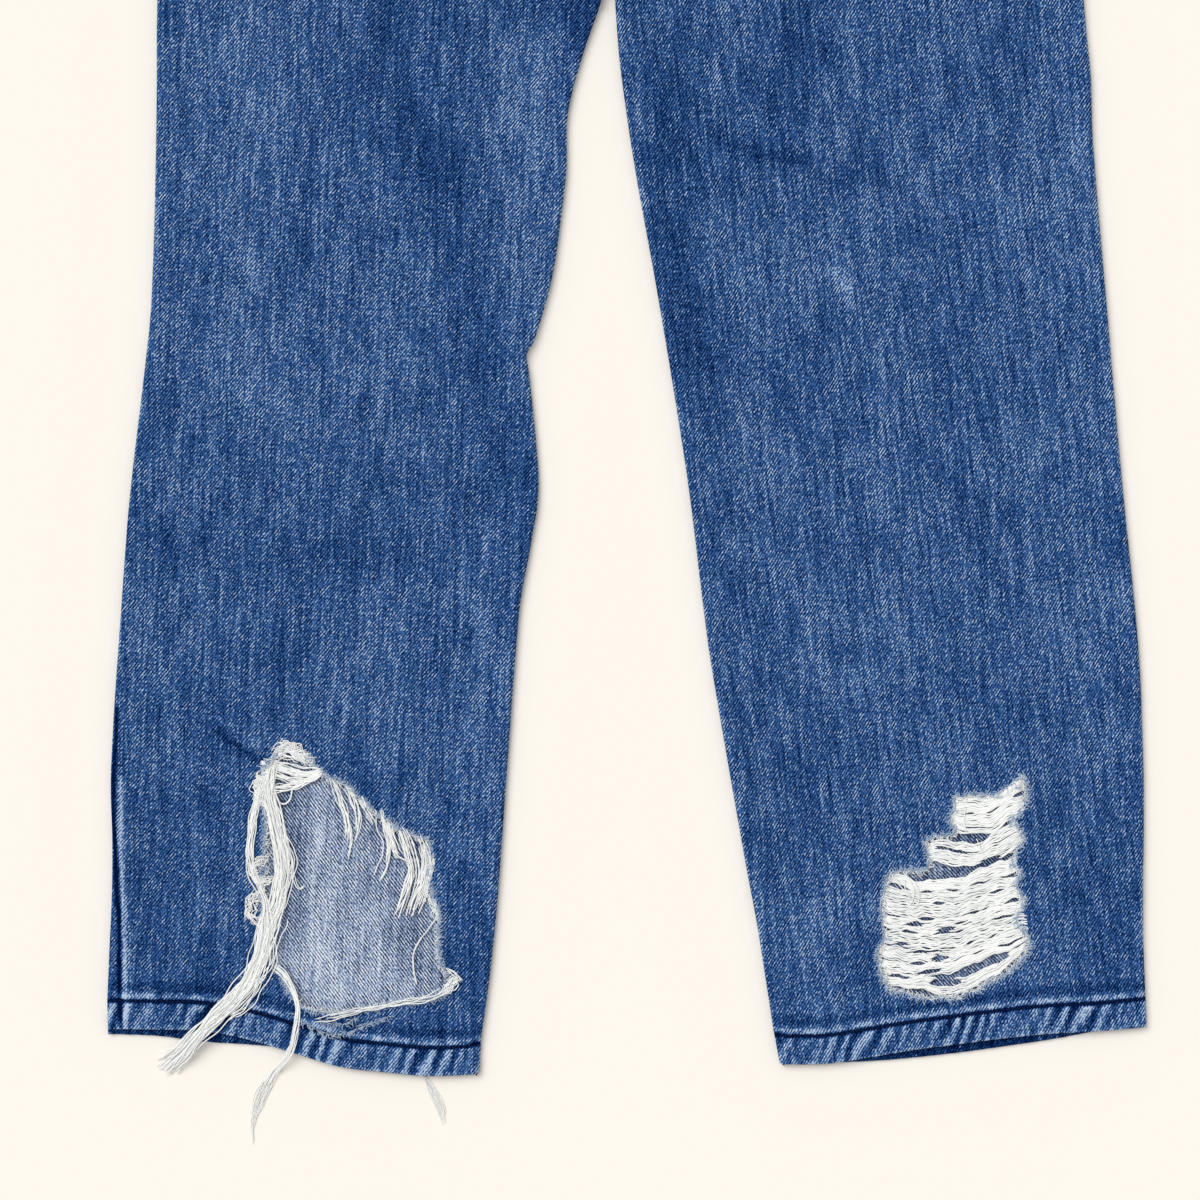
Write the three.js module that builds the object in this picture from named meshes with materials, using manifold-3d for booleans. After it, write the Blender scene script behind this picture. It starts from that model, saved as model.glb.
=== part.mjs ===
// Ripped straight-leg jeans laid flat, face up. Millimetres, +Z up, +Y towards the waist and +X
// towards the wearer's left. Heights are measured from the surface that the jeans lie on, lengths
// along the legs from the lowest point of the right front hem, and widths from the crotch.
//
// Every panel is a wall of cloth through rows of points. The side seams are folds: the back panel
// turns up to the seam and the front panel turns down to it. What sits on a panel lies on its
// surface, and neighbouring pieces stay one seam gap apart.

import * as THREE from 'three';
import { mergeVertices } from 'three/addons/utils/BufferGeometryUtils.js';
import Module from 'manifold-3d';

const wasm = await Module();
wasm.setup();

const { clamp, degToRad, lerp, smoothstep } = THREE.MathUtils;

// Cloth.
const CLOTH = 1.2;
const HEM_CLOTH = 2.6;
const HEM_DEPTH = 17;
const BAND_CLOTH = 2.4;
const SEAM_GAP = 0.3;
const HALF_GAP = SEAM_GAP / 2;

// Heights of the lying stack.
const SEAT_LIFT = 1.5;
const LEG_TOP = 3.3;
const LEG_EDGE_TOP = 5.5;
const HIP_TOP = 6.2;
const WAIST_TOP = 7.3;
const ROLL_RADIUS = 2.75;
const EDGE_FADE = 18;
const HEM_FADE = 22;
const SEAT_START = 640;
const SEAT_END = 672;
const HIP_START = 610;
const HIP_END = 700;
const WAIST_END = 860;

// Lengths along the garment.
const CROTCH = 660;
const SIDE_WAIST = 890;
const FRONT_WAIST_DIP = 22;
const BACK_WAIST_RISE = 15;
const BAND_HEIGHT = 38;
const BAND_TAPER = 0.03;
const YOKE_SIDE = 853;
const YOKE_CENTRE = 836;
const ROW_STEP = 33;
const COLUMNS = 8;
const ROLL_ANGLES = [0, 30, 60];

// Edges of the legs seen from above, as [length along the garment, width from the crotch].
const RIGHT_OUTSEAM = [
  [24, -300.3], [57, -300.6], [93, -298.4], [141, -297.7], [165, -298.8], [213, -297],
  [273, -292.8], [345, -287.4], [417, -279], [465, -274.2], [573, -271.2], [645, -270.6],
  [720, -266], [790, -252], [845, -232], [SIDE_WAIST, -214],
];
const RIGHT_INSEAM = [
  [4, -77.4], [21, -76.8], [45, -73.2], [93, -67.8], [189, -60.6], [261, -55.2], [285, -52.8],
  [309, -48.6], [333, -43.8], [357, -42], [381, -43.8], [405, -46.2], [422, -48], [432, -49.2],
  [444, -43.4], [465, -36.6], [501, -30.6], [537, -25.8], [585, -23.4], [633, -7.8],
  [CROTCH - 6, -1.6], [CROTCH, 0.6],
];
const LEFT_INSEAM = [
  [8, 102], [21, 99.6], [45, 94.8], [69, 92.4], [117, 83.4], [213, 66.6], [261, 58.8],
  [357, 46.8], [465, 29.4], [549, 14.4], [609, 6], [645, 3.2], [CROTCH, 0.6],
];
const LEFT_OUTSEAM = [
  [27, 322.2], [57, 321], [93, 319.8], [165, 320.4], [213, 319.2], [261, 316.8], [357, 307.2],
  [453, 298.8], [561, 289.8], [609, 288], [645, 283.8], [720, 280], [790, 266], [845, 246],
  [SIDE_WAIST, 228],
];
// The pinched stretch of the right inseam, where a fold of the thigh ends, takes rows of its own.
const RIGHT_PINCH = [421, 432, 443];
const CENTRE_SEAM = [[CROTCH, 0.6], [720, 2.2], [800, 4.4], [SIDE_WAIST + 60, 7.5]];

// Bottom folds of the hems, as [width from the crotch, length along the garment].
const RIGHT_FRONT_HEM = [
  [-300.3, 28.2], [-246.6, 27], [-227.4, 24.6], [-196.8, 16.2], [-163.8, 6], [-124.8, 1.2],
  [-109.8, 0], [-81.6, 0.6], [-77.4, 2.4],
];
const RIGHT_BACK_HEM = [
  [-300.3, 24.8], [-267, 23.4], [-239.4, 19.8], [-208.8, 18], [-150, 12], [-77.4, 8],
];
const LEFT_FRONT_HEM = [
  [101, 7.8], [110.4, 6], [139.8, 8.4], [174.6, 14.4], [210.6, 19.2], [256.2, 24.6],
  [307.8, 27.6], [322.2, 29.4],
];
const LEFT_BACK_HEM = [
  [101, 10], [139.2, 7.8], [190.2, 11.4], [210.6, 13.8], [253.2, 19.8], [279.6, 24],
  [291, 26.4], [322.2, 31],
];

// The open tear low on the right leg and the worn-through patch low on the left leg.
const RIGHT_TEAR = [
  [-191.4, 196.2], [-205.8, 186], [-206.8, 173.4], [-205.4, 140.4], [-207.6, 103.2], [-207.4, 90.6],
  [-201.6, 66], [-195.6, 57.6], [-185.4, 41.4], [-168.6, 37.2], [-141.6, 41.4], [-121.2, 45],
  [-111, 45], [-98.4, 49.2], [-94.2, 55.8], [-100.2, 66], [-102.6, 78.6], [-102.6, 94.8],
  [-108.6, 113.4], [-107.4, 127.8], [-107.4, 140.4], [-121.2, 144.6], [-137.4, 154.8],
  [-144, 160.8], [-156, 172.2], [-170.4, 179.4], [-183, 190.2],
];
const LEFT_WORN_PATCH = [
  [247.2, 178.8], [242.4, 173.4], [231.6, 167.4], [208.8, 167.4], [205.2, 153], [207, 144.6],
  [189.6, 140.4], [192.6, 127.8], [190.2, 123.6], [168, 121.8], [165.6, 113.4], [162.6, 105],
  [165.6, 82.8], [161.4, 74.4], [163.8, 61.8], [168, 51.6], [188.4, 47.4], [208.8, 46.2],
  [234, 60], [244.2, 67.8], [252.6, 78.6], [243, 93], [248.4, 105], [243, 113.4], [246, 121.8],
  [240, 127.8], [244.2, 136.2], [248.4, 142.2], [240, 153], [246, 157.2], [249.6, 169.2],
];

// How far the fringe along the upper edge of the tear reaches into it.
const TEAR_FRINGE = [
  [-191.4, 196.2], [-205.8, 186], [-203, 176], [-184, 176], [-170, 166], [-158, 152], [-150, 134],
  [-139, 134], [-130, 120], [-122, 104], [-112, 96], [-104, 96], [-108.6, 113.4],
  [-107.4, 127.8], [-107.4, 140.4], [-121.2, 144.6], [-137.4, 154.8], [-144, 160.8],
  [-156, 172.2], [-170.4, 179.4], [-183, 190.2],
];

// Bundles of loose weft threads: where they run, how high their underside lies and how wide they are.
const THREAD_STRANDS = {
  threads_bundle: {
    thickness: 2,
    stops: [
      [-203, 171, 3.4, 5], [-199.5, 153, 2.6, 7], [-194.4, 126, 2.2, 9], [-197.4, 105, 2.6, 9],
      [-204, 87, 4.2, 10], [-208.8, 69, 4.6, 10], [-216, 54, 5.4, 11], [-230.4, 39, 6.4, 12],
      [-246, 23.5, 6.2, 13], [-253, 15.5, 4.2, 14], [-259, 9.5, 1.2, 15], [-268.2, 1, 0.3, 15],
    ],
  },
  threads_branch: {
    thickness: 1.2,
    stops: [
      [-199, 63, 4.6, 3], [-192, 57, 5.2, 3], [-186.6, 45, 5.9, 3], [-186, 33, 6.2, 3],
      [-191.4, 14, 6.2, 4], [-196, 8, 3.6, 5], [-200, 2, 0.8, 6], [-205.2, -6, 0.3, 8],
      [-212, -20, 0.3, 8], [-213.6, -31, 0.3, 4], [-213, -42, 0.3, 2],
    ],
  },
  threads_lower_edge: {
    thickness: 1,
    stops: [
      [-96, 52, 6, 4], [-108, 46.5, 6, 3], [-122, 44, 6, 3], [-148, 39.5, 6, 3],
      [-176, 34.5, 6.2, 4],
    ],
  },
  threads_hem_wisp: {
    thickness: 0.9,
    stops: [
      [-111.5, -0.6, 0.3, 3], [-106.2, -10, 0.3, 5], [-101.4, -21, 0.3, 6], [-99, -30, 0.3, 4],
    ],
  },
};

// Soft folds: a ridge of cloth along a line, higher in its middle than at its ends.
const RIGHT_FRONT_FOLDS = [
  { line: [[-96, 640], [-88, 575], [-74, 505], [-62, 455], [-52, 434]], height: 3.4, reach: 17 },
  { line: [[-255, 222], [-226, 200], [-206, 190]], height: 1.6, reach: 9 },
  { line: [[-14, 672], [-80, 704], [-150, 716]], height: 2.2, reach: 14 },
];
const LEFT_FRONT_FOLDS = [
  { line: [[34, 590], [70, 556], [120, 548]], height: 2.2, reach: 15 },
  { line: [[40, 470], [62, 420], [72, 360]], height: 1.6, reach: 14 },
  { line: [[18, 672], [86, 704], [158, 716]], height: 2.2, reach: 14 },
];

// Front pockets: from the waist seam to the side seam, inside the outseam by these amounts.
const POCKET_MOUTH_WIDTH = 98;
const POCKET_MOUTH_DROP = 82;

// Back pockets.
const BACK_POCKET_WIDTH = 146;
const BACK_POCKET_FOOT_WIDTH = 122;
const BACK_POCKET_SIDE = 128;
const BACK_POCKET_LENGTH = 152;
const BACK_POCKET_TOP = 822;
const BACK_POCKET_INSET = 34;
const BACK_POCKET_TILT = 3;

// Waistband, loops, zip and button.
const BAND_LAP_OVER = 10;
const BAND_LAP_UNDER = 20;
const BAND_LAP_RAMP = 20;
const LOOP_WIDTH = 11;
const LOOP_CLOTH = 1.2;
const LOOP_ARCH = 1;
const LOOP_OVERHANG = 8;
const FRONT_LOOP_OFFSET = 112;
const BACK_LOOP_OFFSET = 148;
const ZIP_WIDTH = 26;
const ZIP_CLOTH = 1.2;
const ZIP_HEIGHT = 3.4;
const ZIP_START = 704;
const BUTTON_RADIUS = 8.5;
const BUTTON_HEIGHT = 3.2;
const BUTTON_OFFSET = 4;

// Finishes.
const DENIM = { color: 0x3e5f93, roughness: 0.9, metalness: 0 };
const THREAD = { color: 0xe6e6e0, roughness: 0.85, metalness: 0 };
const ZIP_METAL = { color: 0x9a8f74, roughness: 0.45, metalness: 0.9 };
const BUTTON_METAL = { color: 0x8c8379, roughness: 0.4, metalness: 1 };

// A smooth function through knots of [place, value].
function through(knots) {
  const slopes = knots.map((knot, i) => {
    const before = knots[Math.max(i - 1, 0)];
    const after = knots[Math.min(i + 1, knots.length - 1)];
    return (after[1] - before[1]) / (after[0] - before[0]);
  });
  return (place) => {
    let i = 0;
    while (i < knots.length - 2 && place > knots[i + 1][0]) {
      i += 1;
    }
    const [start, from] = knots[i];
    const [end, to] = knots[i + 1];
    const span = end - start;
    const t = clamp((place - start) / span, 0, 1);
    const rise = to - from;
    const bend = slopes[i] * span - rise;
    const unbend = rise - slopes[i + 1] * span;
    return from + rise * t + t * (1 - t) * (bend * (1 - t) + unbend * t);
  };
}

const centreSeam = through(CENTRE_SEAM);
const rightOutseam = through(RIGHT_OUTSEAM);
const leftOutseam = through(LEFT_OUTSEAM);
const rightInseam = insideEdge(RIGHT_INSEAM, -HALF_GAP);
const leftInseam = insideEdge(LEFT_INSEAM, HALF_GAP);

// The inner edge of a half of the garment: the inseam below the crotch, the centre seam above it.
function insideEdge(knots, offset) {
  const inseam = through(knots);
  return (y) => (y < CROTCH ? inseam(y) : centreSeam(y)) + offset;
}

// The waist seam and the yoke seam, dipping or rising towards the middle of the garment.
function acrossWaist(sideLength, middleOffset) {
  const middle = centreSeam(SIDE_WAIST);
  const halfWidth = (leftOutseam(SIDE_WAIST) - rightOutseam(SIDE_WAIST)) / 2;
  return (x) => {
    const t = clamp(Math.abs(x - middle) / halfWidth, 0, 1);
    return sideLength + middleOffset * (1 - t * t);
  };
}

const frontWaistSeam = acrossWaist(SIDE_WAIST, -FRONT_WAIST_DIP);
const backWaistSeam = acrossWaist(SIDE_WAIST, BACK_WAIST_RISE);
const yokeSeam = acrossWaist(YOKE_SIDE, YOKE_CENTRE - YOKE_SIDE);

// How high the stack lies at a place along the garment.
function seatLift(y) {
  return SEAT_LIFT * smoothstep(y, SEAT_START, SEAT_END);
}

function middleTop(y) {
  const hip = lerp(LEG_TOP, HIP_TOP, smoothstep(y, HIP_START, HIP_END));
  return lerp(hip, WAIST_TOP, smoothstep(y, HIP_END, WAIST_END));
}

function edgeTop(y) {
  return lerp(LEG_EDGE_TOP, WAIST_TOP, smoothstep(y, HIP_START, HIP_END));
}

function seamHeight(y) {
  return (seatLift(y) + edgeTop(y)) / 2;
}

function fade(distance, reach) {
  return Math.exp(-((distance / reach) ** 2));
}

function distanceToLine(x, y, line) {
  const place = new THREE.Vector3(x, y, 0);
  const nearest = new THREE.Vector3();
  const distances = line.slice(1).map((end, i) => {
    const stretch = new THREE.Line3(
      new THREE.Vector3(line[i][0], line[i][1], 0),
      new THREE.Vector3(end[0], end[1], 0),
    );
    stretch.closestPointToPoint(place, true, nearest);
    return nearest.distanceTo(place);
  });
  return Math.min(...distances);
}

function foldHeight(x, y, folds) {
  const heights = folds.map((fold) => fold.height * fade(distanceToLine(x, y, fold.line), fold.reach));
  return heights.reduce((total, height) => total + height, 0);
}

// A closed wall between two grids of points with the same rows and columns.
function wall(upper, lower) {
  const rows = upper.length;
  const columns = upper[0].length;
  const positions = [];
  for (const grid of [upper, lower]) {
    for (const row of grid) {
      row.forEach((point) => positions.push(point.x, point.y, point.z));
    }
  }
  const top = (j, i) => j * columns + i;
  const bottom = (j, i) => rows * columns + top(j, i);
  const index = [];
  const quad = (a, b, c, d) => index.push(a, b, c, a, c, d);
  for (let j = 0; j < rows - 1; j += 1) {
    for (let i = 0; i < columns - 1; i += 1) {
      quad(top(j, i), top(j, i + 1), top(j + 1, i + 1), top(j + 1, i));
      quad(bottom(j, i), bottom(j + 1, i), bottom(j + 1, i + 1), bottom(j, i + 1));
    }
    quad(top(j + 1, 0), bottom(j + 1, 0), bottom(j, 0), top(j, 0));
    quad(top(j, columns - 1), bottom(j, columns - 1), bottom(j + 1, columns - 1), top(j + 1, columns - 1));
  }
  for (let i = 0; i < columns - 1; i += 1) {
    quad(top(0, i), bottom(0, i), bottom(0, i + 1), top(0, i + 1));
    quad(top(rows - 1, i + 1), bottom(rows - 1, i + 1), bottom(rows - 1, i), top(rows - 1, i));
  }
  const geometry = new THREE.BufferGeometry();
  geometry.setAttribute('position', new THREE.Float32BufferAttribute(positions, 3));
  geometry.setIndex(index);
  return geometry;
}

// One panel of cloth between two side edges, a bottom line and a top line.
// Its sides turn towards the seam where `rolls` says so, and it is thicker along a hem.
function panel({ left, right, bottom, top, leftRolls, rightRolls, hem, facesUp, folds, keyLengths }) {
  const endOf = (edge, line, guess) => {
    let y = guess;
    for (let pass = 0; pass < 8; pass += 1) {
      y = line(edge(y));
    }
    return y;
  };
  const start = { left: endOf(left, bottom, 20), right: endOf(right, bottom, 20) };
  const end = { left: endOf(left, top, SIDE_WAIST), right: endOf(right, top, SIDE_WAIST) };
  const length = (end.left + end.right - start.left - start.right) / 2;
  const upper = [];
  const lower = [];
  const keyPlaces = keyLengths.map((y) => (y - start.right) / (end.right - start.right));
  for (const v of rowPlaces(length, hem, keyPlaces)) {
    const yLeft = lerp(start.left, end.left, v);
    const yRight = lerp(start.right, end.right, v);
    const xLeft = left(yLeft);
    const xRight = right(yRight);
    const across = (x) => {
      const u = clamp((x - xLeft) / (xRight - xLeft), 0, 1);
      const atStart = lerp(left(start.left), right(start.right), u);
      const atEnd = lerp(left(end.left), right(end.right), u);
      const startBow = bottom(atStart) - lerp(start.left, start.right, u);
      const endBow = top(atEnd) - lerp(end.left, end.right, u);
      return lerp(yLeft, yRight, u) + (1 - v) * startBow + v * endBow;
    };
    const hemDistance = v * length;
    const thick = hem && hemDistance < HEM_DEPTH ? HEM_CLOTH : CLOTH;
    const rolls = { left: leftRolls(yLeft), right: rightRolls(yRight) };
    const levels = (x) => {
      const y = across(x);
      if (!facesUp) {
        return { outer: seatLift(y), inner: seatLift(y) + thick };
      }
      const hemCrown = hem ? fade(Math.max(hemDistance - HEM_DEPTH, 0), HEM_FADE) : 0;
      const leftCrown = rolls.left * fade(x - xLeft, EDGE_FADE);
      const rightCrown = rolls.right * fade(xRight - x, EDGE_FADE);
      const crown = Math.max(hemCrown, leftCrown, rightCrown);
      const flat = lerp(middleTop(y), edgeTop(y), crown);
      const outer = flat + foldHeight(x, y, folds) * (1 - crown);
      return { outer, inner: outer - thick };
    };
    const outerRow = [];
    const innerRow = [];
    const addRolled = (edge, y, roll, angle, inwards) => {
      const turn = 1 - Math.cos(degToRad(angle));
      const climb = lerp(1, Math.sin(degToRad(angle)), roll);
      const seam = seamHeight(y) + (facesUp ? HALF_GAP : -HALF_GAP);
      const depth = thick * roll;
      const outerX = edge + inwards * ROLL_RADIUS * turn;
      const innerX = edge + inwards * (depth + (ROLL_RADIUS - depth) * turn);
      const level = levels(outerX);
      outerRow.push(new THREE.Vector3(outerX, across(outerX), seam + (level.outer - seam) * climb));
      innerRow.push(new THREE.Vector3(innerX, across(innerX), seam + (level.inner - seam) * climb));
    };
    ROLL_ANGLES.forEach((angle) => addRolled(xLeft, yLeft, rolls.left, angle, 1));
    for (let i = 0; i <= COLUMNS; i += 1) {
      const x = lerp(xLeft + ROLL_RADIUS, xRight - ROLL_RADIUS, i / COLUMNS);
      const level = levels(x);
      outerRow.push(new THREE.Vector3(x, across(x), level.outer));
      innerRow.push(new THREE.Vector3(x, across(x), level.inner));
    }
    ROLL_ANGLES.toReversed().forEach((angle) => addRolled(xRight, yRight, rolls.right, angle, -1));
    upper.push(facesUp ? outerRow : innerRow);
    lower.push(facesUp ? innerRow : outerRow);
  }
  return wall(upper, lower);
}

// Where a panel's rows lie, from 0 at its bottom line to 1 at its top line.
function rowPlaces(length, hem, keyPlaces) {
  const first = hem ? [0, (HEM_DEPTH - 0.5) / length, (HEM_DEPTH + 1) / length] : [0];
  const from = first.at(-1);
  const count = Math.ceil(((1 - from) * length) / ROW_STEP);
  const even = Array.from({ length: count }, (_, i) => lerp(from, 1, (i + 1) / count));
  const isFree = (v) => keyPlaces.every((place) => Math.abs(place - v) * length > ROW_STEP / 4);
  return [...first, ...even.filter(isFree), ...keyPlaces].sort((a, b) => a - b);
}

const alwaysRolls = () => 1;
const rollsBelowCrotch = (y) => 1 - smoothstep(y, CROTCH - 28, CROTCH - 2);
const neverRolls = () => 0;
const shifted = (line, offset) => (x) => line(x) + offset;

// A strap through stops of { low, high } edges on its outer face, with its inner face one thickness in.
function strap(stops) {
  const upper = stops.map((stop) => [stop.outerLow, stop.outerHigh]);
  const lower = stops.map((stop) => [stop.innerLow, stop.innerHigh]);
  return wall(upper, lower);
}

// The whole waistband: from its lapped-under right end, round the back, to its lapped-over left end.
function waistband() {
  const centre = centreSeam(SIDE_WAIST);
  const bandTop = WAIST_TOP;
  const axis = (SEAT_LIFT + bandTop) / 2;
  const outerRadius = (bandTop - SEAT_LIFT) / 2;
  const innerRadius = outerRadius - BAND_CLOTH;
  const frontLow = (x) => frontWaistSeam(x) + HALF_GAP;
  const backLow = (x) => backWaistSeam(x) + HALF_GAP;
  const rightSide = rightOutseam(SIDE_WAIST) + outerRadius;
  const leftSide = leftOutseam(SIDE_WAIST) - outerRadius;
  const tapered = (x) => lerp(x, centre, BAND_TAPER);
  const stop = (x, xInner, low, outer, inner) => ({
    outerLow: new THREE.Vector3(x, low, outer),
    outerHigh: new THREE.Vector3(tapered(x), low + BAND_HEIGHT, outer),
    innerLow: new THREE.Vector3(xInner, low, inner),
    innerHigh: new THREE.Vector3(tapered(xInner), low + BAND_HEIGHT, inner),
  });
  const flat = (x, low, outer, inner) => stop(x, x, low(x), outer, inner);
  const front = (x, raise) => flat(x, frontLow, bandTop + raise, bandTop - BAND_CLOTH + raise);
  const back = (x) => flat(x, backLow, SEAT_LIFT, SEAT_LIFT + BAND_CLOTH);
  const fold = (x, side, angle) => {
    const reach = side * Math.cos(degToRad(angle));
    const height = Math.sin(degToRad(angle));
    const low = lerp(backLow(x), frontLow(x), (height + 1) / 2);
    return stop(
      x + reach * outerRadius, x + reach * innerRadius, low,
      axis + height * outerRadius, axis + height * innerRadius,
    );
  };
  const between = (from, to, count) => Array.from({ length: count }, (_, i) => lerp(from, to, i / (count - 1)));
  const foldAngles = [60, 30, 0, -30, -60];
  const lapRaise = BAND_CLOTH + SEAM_GAP;
  const underEnd = centre + BAND_LAP_UNDER;
  const overStart = underEnd + BAND_LAP_RAMP * 1.4;
  const stops = [
    ...between(underEnd, rightSide, 7).map((x) => front(x, 0)),
    ...foldAngles.map((angle) => fold(rightSide, -1, angle)),
    ...between(rightSide, leftSide, 12).map((x) => back(x)),
    ...foldAngles.toReversed().map((angle) => fold(leftSide, 1, angle)),
    ...between(leftSide, overStart, 6).map((x) => front(x, 0)),
    front(overStart - BAND_LAP_RAMP, lapRaise),
    front(centre - BAND_LAP_OVER, lapRaise),
  ];
  return strap(stops);
}

// A strap that lies along the garment, through stops of { y, z } for its underside.
function lengthwiseStrap(x, width, thickness, stops) {
  const edge = (side) => x + (side * width) / 2;
  return strap(stops.map(([y, z]) => ({
    outerLow: new THREE.Vector3(edge(-1), y, z + thickness),
    outerHigh: new THREE.Vector3(edge(1), y, z + thickness),
    innerLow: new THREE.Vector3(edge(-1), y, z),
    innerHigh: new THREE.Vector3(edge(1), y, z),
  })));
}

function frontLoop(x) {
  const low = frontWaistSeam(x) - LOOP_OVERHANG;
  const high = frontWaistSeam(x) + BAND_HEIGHT;
  const rest = WAIST_TOP + SEAM_GAP;
  const stops = [0, 0.15, 0.4, 0.7, 0.9, 1].map((t) => {
    const arch = LOOP_ARCH * Math.sin(Math.PI * t) ** 2;
    return [lerp(low, high, t), rest + arch];
  });
  return lengthwiseStrap(x, LOOP_WIDTH, LOOP_CLOTH, stops);
}

function backLoop(x) {
  const low = backWaistSeam(x) - LOOP_OVERHANG;
  const high = backWaistSeam(x) + BAND_HEIGHT;
  return lengthwiseStrap(x, LOOP_WIDTH, LOOP_CLOTH, [[low, 0], [high, 0]]);
}

function zip() {
  const end = frontWaistSeam(centreSeam(SIDE_WAIST)) - SEAM_GAP;
  const x = centreSeam((ZIP_START + end) / 2);
  return lengthwiseStrap(x, ZIP_WIDTH, ZIP_CLOTH, [[ZIP_START, ZIP_HEIGHT], [end, ZIP_HEIGHT]]);
}

function outlineShape(points) {
  return new THREE.Shape(points.map(([x, y]) => new THREE.Vector2(x, y)));
}

function plate(shape, from, thickness) {
  const geometry = new THREE.ExtrudeGeometry(shape, { depth: thickness, bevelEnabled: false });
  geometry.translate(0, 0, from);
  return geometry;
}

// A back pocket seen from above, lying under the seat: straight sides and a pointed foot.
function backPocket(side) {
  const top = BACK_POCKET_WIDTH / 2;
  const foot = BACK_POCKET_FOOT_WIDTH / 2;
  const shape = outlineShape([
    [-top, 0], [-foot, -BACK_POCKET_SIDE], [0, -BACK_POCKET_LENGTH], [foot, -BACK_POCKET_SIDE], [top, 0],
  ]);
  const geometry = plate(shape, 0, CLOTH);
  geometry.rotateZ(degToRad(-side * BACK_POCKET_TILT));
  const x = centreSeam(BACK_POCKET_TOP) + side * (BACK_POCKET_INSET + top);
  geometry.translate(x, BACK_POCKET_TOP, 0);
  return geometry;
}

// The button's head: a shallow dished cap on a short skirt.
function button() {
  const profile = [
    [0, 0], [BUTTON_RADIUS * 0.8, 0], [BUTTON_RADIUS, BUTTON_HEIGHT * 0.35],
    [BUTTON_RADIUS, BUTTON_HEIGHT * 0.65], [BUTTON_RADIUS * 0.86, BUTTON_HEIGHT],
    [BUTTON_RADIUS * 0.6, BUTTON_HEIGHT * 0.86], [0, BUTTON_HEIGHT * 0.8],
  ].map(([r, z]) => new THREE.Vector2(r, z));
  const geometry = new THREE.LatheGeometry(profile, 28);
  geometry.rotateX(Math.PI / 2);
  const x = centreSeam(SIDE_WAIST) + BUTTON_OFFSET;
  const y = frontWaistSeam(x) + BAND_HEIGHT / 2;
  geometry.translate(x, y, WAIST_TOP + BAND_CLOTH + 2 * SEAM_GAP);
  return geometry;
}

// A flat strand of loose threads through its stops, square to its run.
function threadStrand({ thickness, stops }) {
  const centres = stops.map(([x, y]) => new THREE.Vector2(x, y));
  return strap(stops.map(([x, y, z, width], i) => {
    const before = centres[Math.max(i - 1, 0)];
    const after = centres[Math.min(i + 1, centres.length - 1)];
    const run = after.clone().sub(before).normalize();
    const side = new THREE.Vector2(-run.y, run.x).multiplyScalar(width / 2);
    return {
      outerLow: new THREE.Vector3(x + side.x, y + side.y, z + thickness),
      outerHigh: new THREE.Vector3(x - side.x, y - side.y, z + thickness),
      innerLow: new THREE.Vector3(x + side.x, y + side.y, z),
      innerHigh: new THREE.Vector3(x - side.x, y - side.y, z),
    };
  }));
}

// Moves each corner of an outline inwards by about the given distance.
function inset(points, distance) {
  const anticlockwise = THREE.ShapeUtils.area(points.map(([x, y]) => new THREE.Vector2(x, y))) > 0;
  const turn = anticlockwise ? 1 : -1;
  const count = points.length;
  return points.map(([x, y], i) => {
    const [beforeX, beforeY] = points[(i + count - 1) % count];
    const [afterX, afterY] = points[(i + 1) % count];
    const arriving = new THREE.Vector2(x - beforeX, y - beforeY).normalize();
    const leaving = new THREE.Vector2(afterX - x, afterY - y).normalize();
    const inwards = new THREE.Vector2(-arriving.y - leaving.y, arriving.x + leaving.x).multiplyScalar(turn);
    const spread = Math.max(inwards.length() / 2, 0.5);
    inwards.normalize().multiplyScalar(distance / spread);
    return [x + inwards.x, y + inwards.y];
  });
}

// Booleans between closed meshes.
function toSolid(geometry) {
  const bare = geometry.clone();
  bare.deleteAttribute('normal');
  bare.deleteAttribute('uv');
  const merged = mergeVertices(bare, 1e-4);
  return new wasm.Manifold(new wasm.Mesh({
    numProp: 3,
    vertProperties: new Float32Array(merged.attributes.position.array),
    triVerts: new Uint32Array(merged.index.array),
  }));
}

function toGeometry(solid) {
  const mesh = solid.getMesh();
  const geometry = new THREE.BufferGeometry();
  geometry.setAttribute('position', new THREE.Float32BufferAttribute(mesh.vertProperties, 3));
  geometry.setIndex([...mesh.triVerts]);
  return geometry;
}

const CUTTER_DEPTH = 60;
const cutter = (points) => toSolid(plate(outlineShape(points), -CUTTER_DEPTH / 2, CUTTER_DEPTH));

// The corner that a front pocket's mouth takes out of the front panel, as a curved outline.
function pocketMouth(side, clearance) {
  const outseam = side < 0 ? rightOutseam : leftOutseam;
  const sideX = outseam(SIDE_WAIST);
  const overX = sideX - side * POCKET_MOUTH_WIDTH;
  const lowY = SIDE_WAIST - POCKET_MOUTH_DROP;
  const lowX = outseam(lowY) + side * 12;
  const curve = new THREE.QuadraticBezierCurve(
    new THREE.Vector2(overX, SIDE_WAIST),
    new THREE.Vector2(overX + side * 12, lowY + 4),
    new THREE.Vector2(lowX, lowY - 4),
  );
  const mouth = curve.getPoints(9).map((point) => [point.x + side * clearance, point.y + clearance]);
  return [...mouth, [lowX + side * 60, lowY], [lowX + side * 60, SIDE_WAIST + 60], [overX, SIDE_WAIST + 60]];
}

function frontBlank(side) {
  const isRight = side < 0;
  return toSolid(panel({
    left: isRight ? rightOutseam : leftInseam,
    right: isRight ? rightInseam : leftOutseam,
    bottom: through(isRight ? RIGHT_FRONT_HEM : LEFT_FRONT_HEM),
    top: shifted(frontWaistSeam, -HALF_GAP),
    leftRolls: isRight ? alwaysRolls : rollsBelowCrotch,
    rightRolls: isRight ? rollsBelowCrotch : alwaysRolls,
    hem: true,
    facesUp: true,
    folds: isRight ? RIGHT_FRONT_FOLDS : LEFT_FRONT_FOLDS,
    keyLengths: isRight ? RIGHT_PINCH : [],
  }));
}

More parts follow.
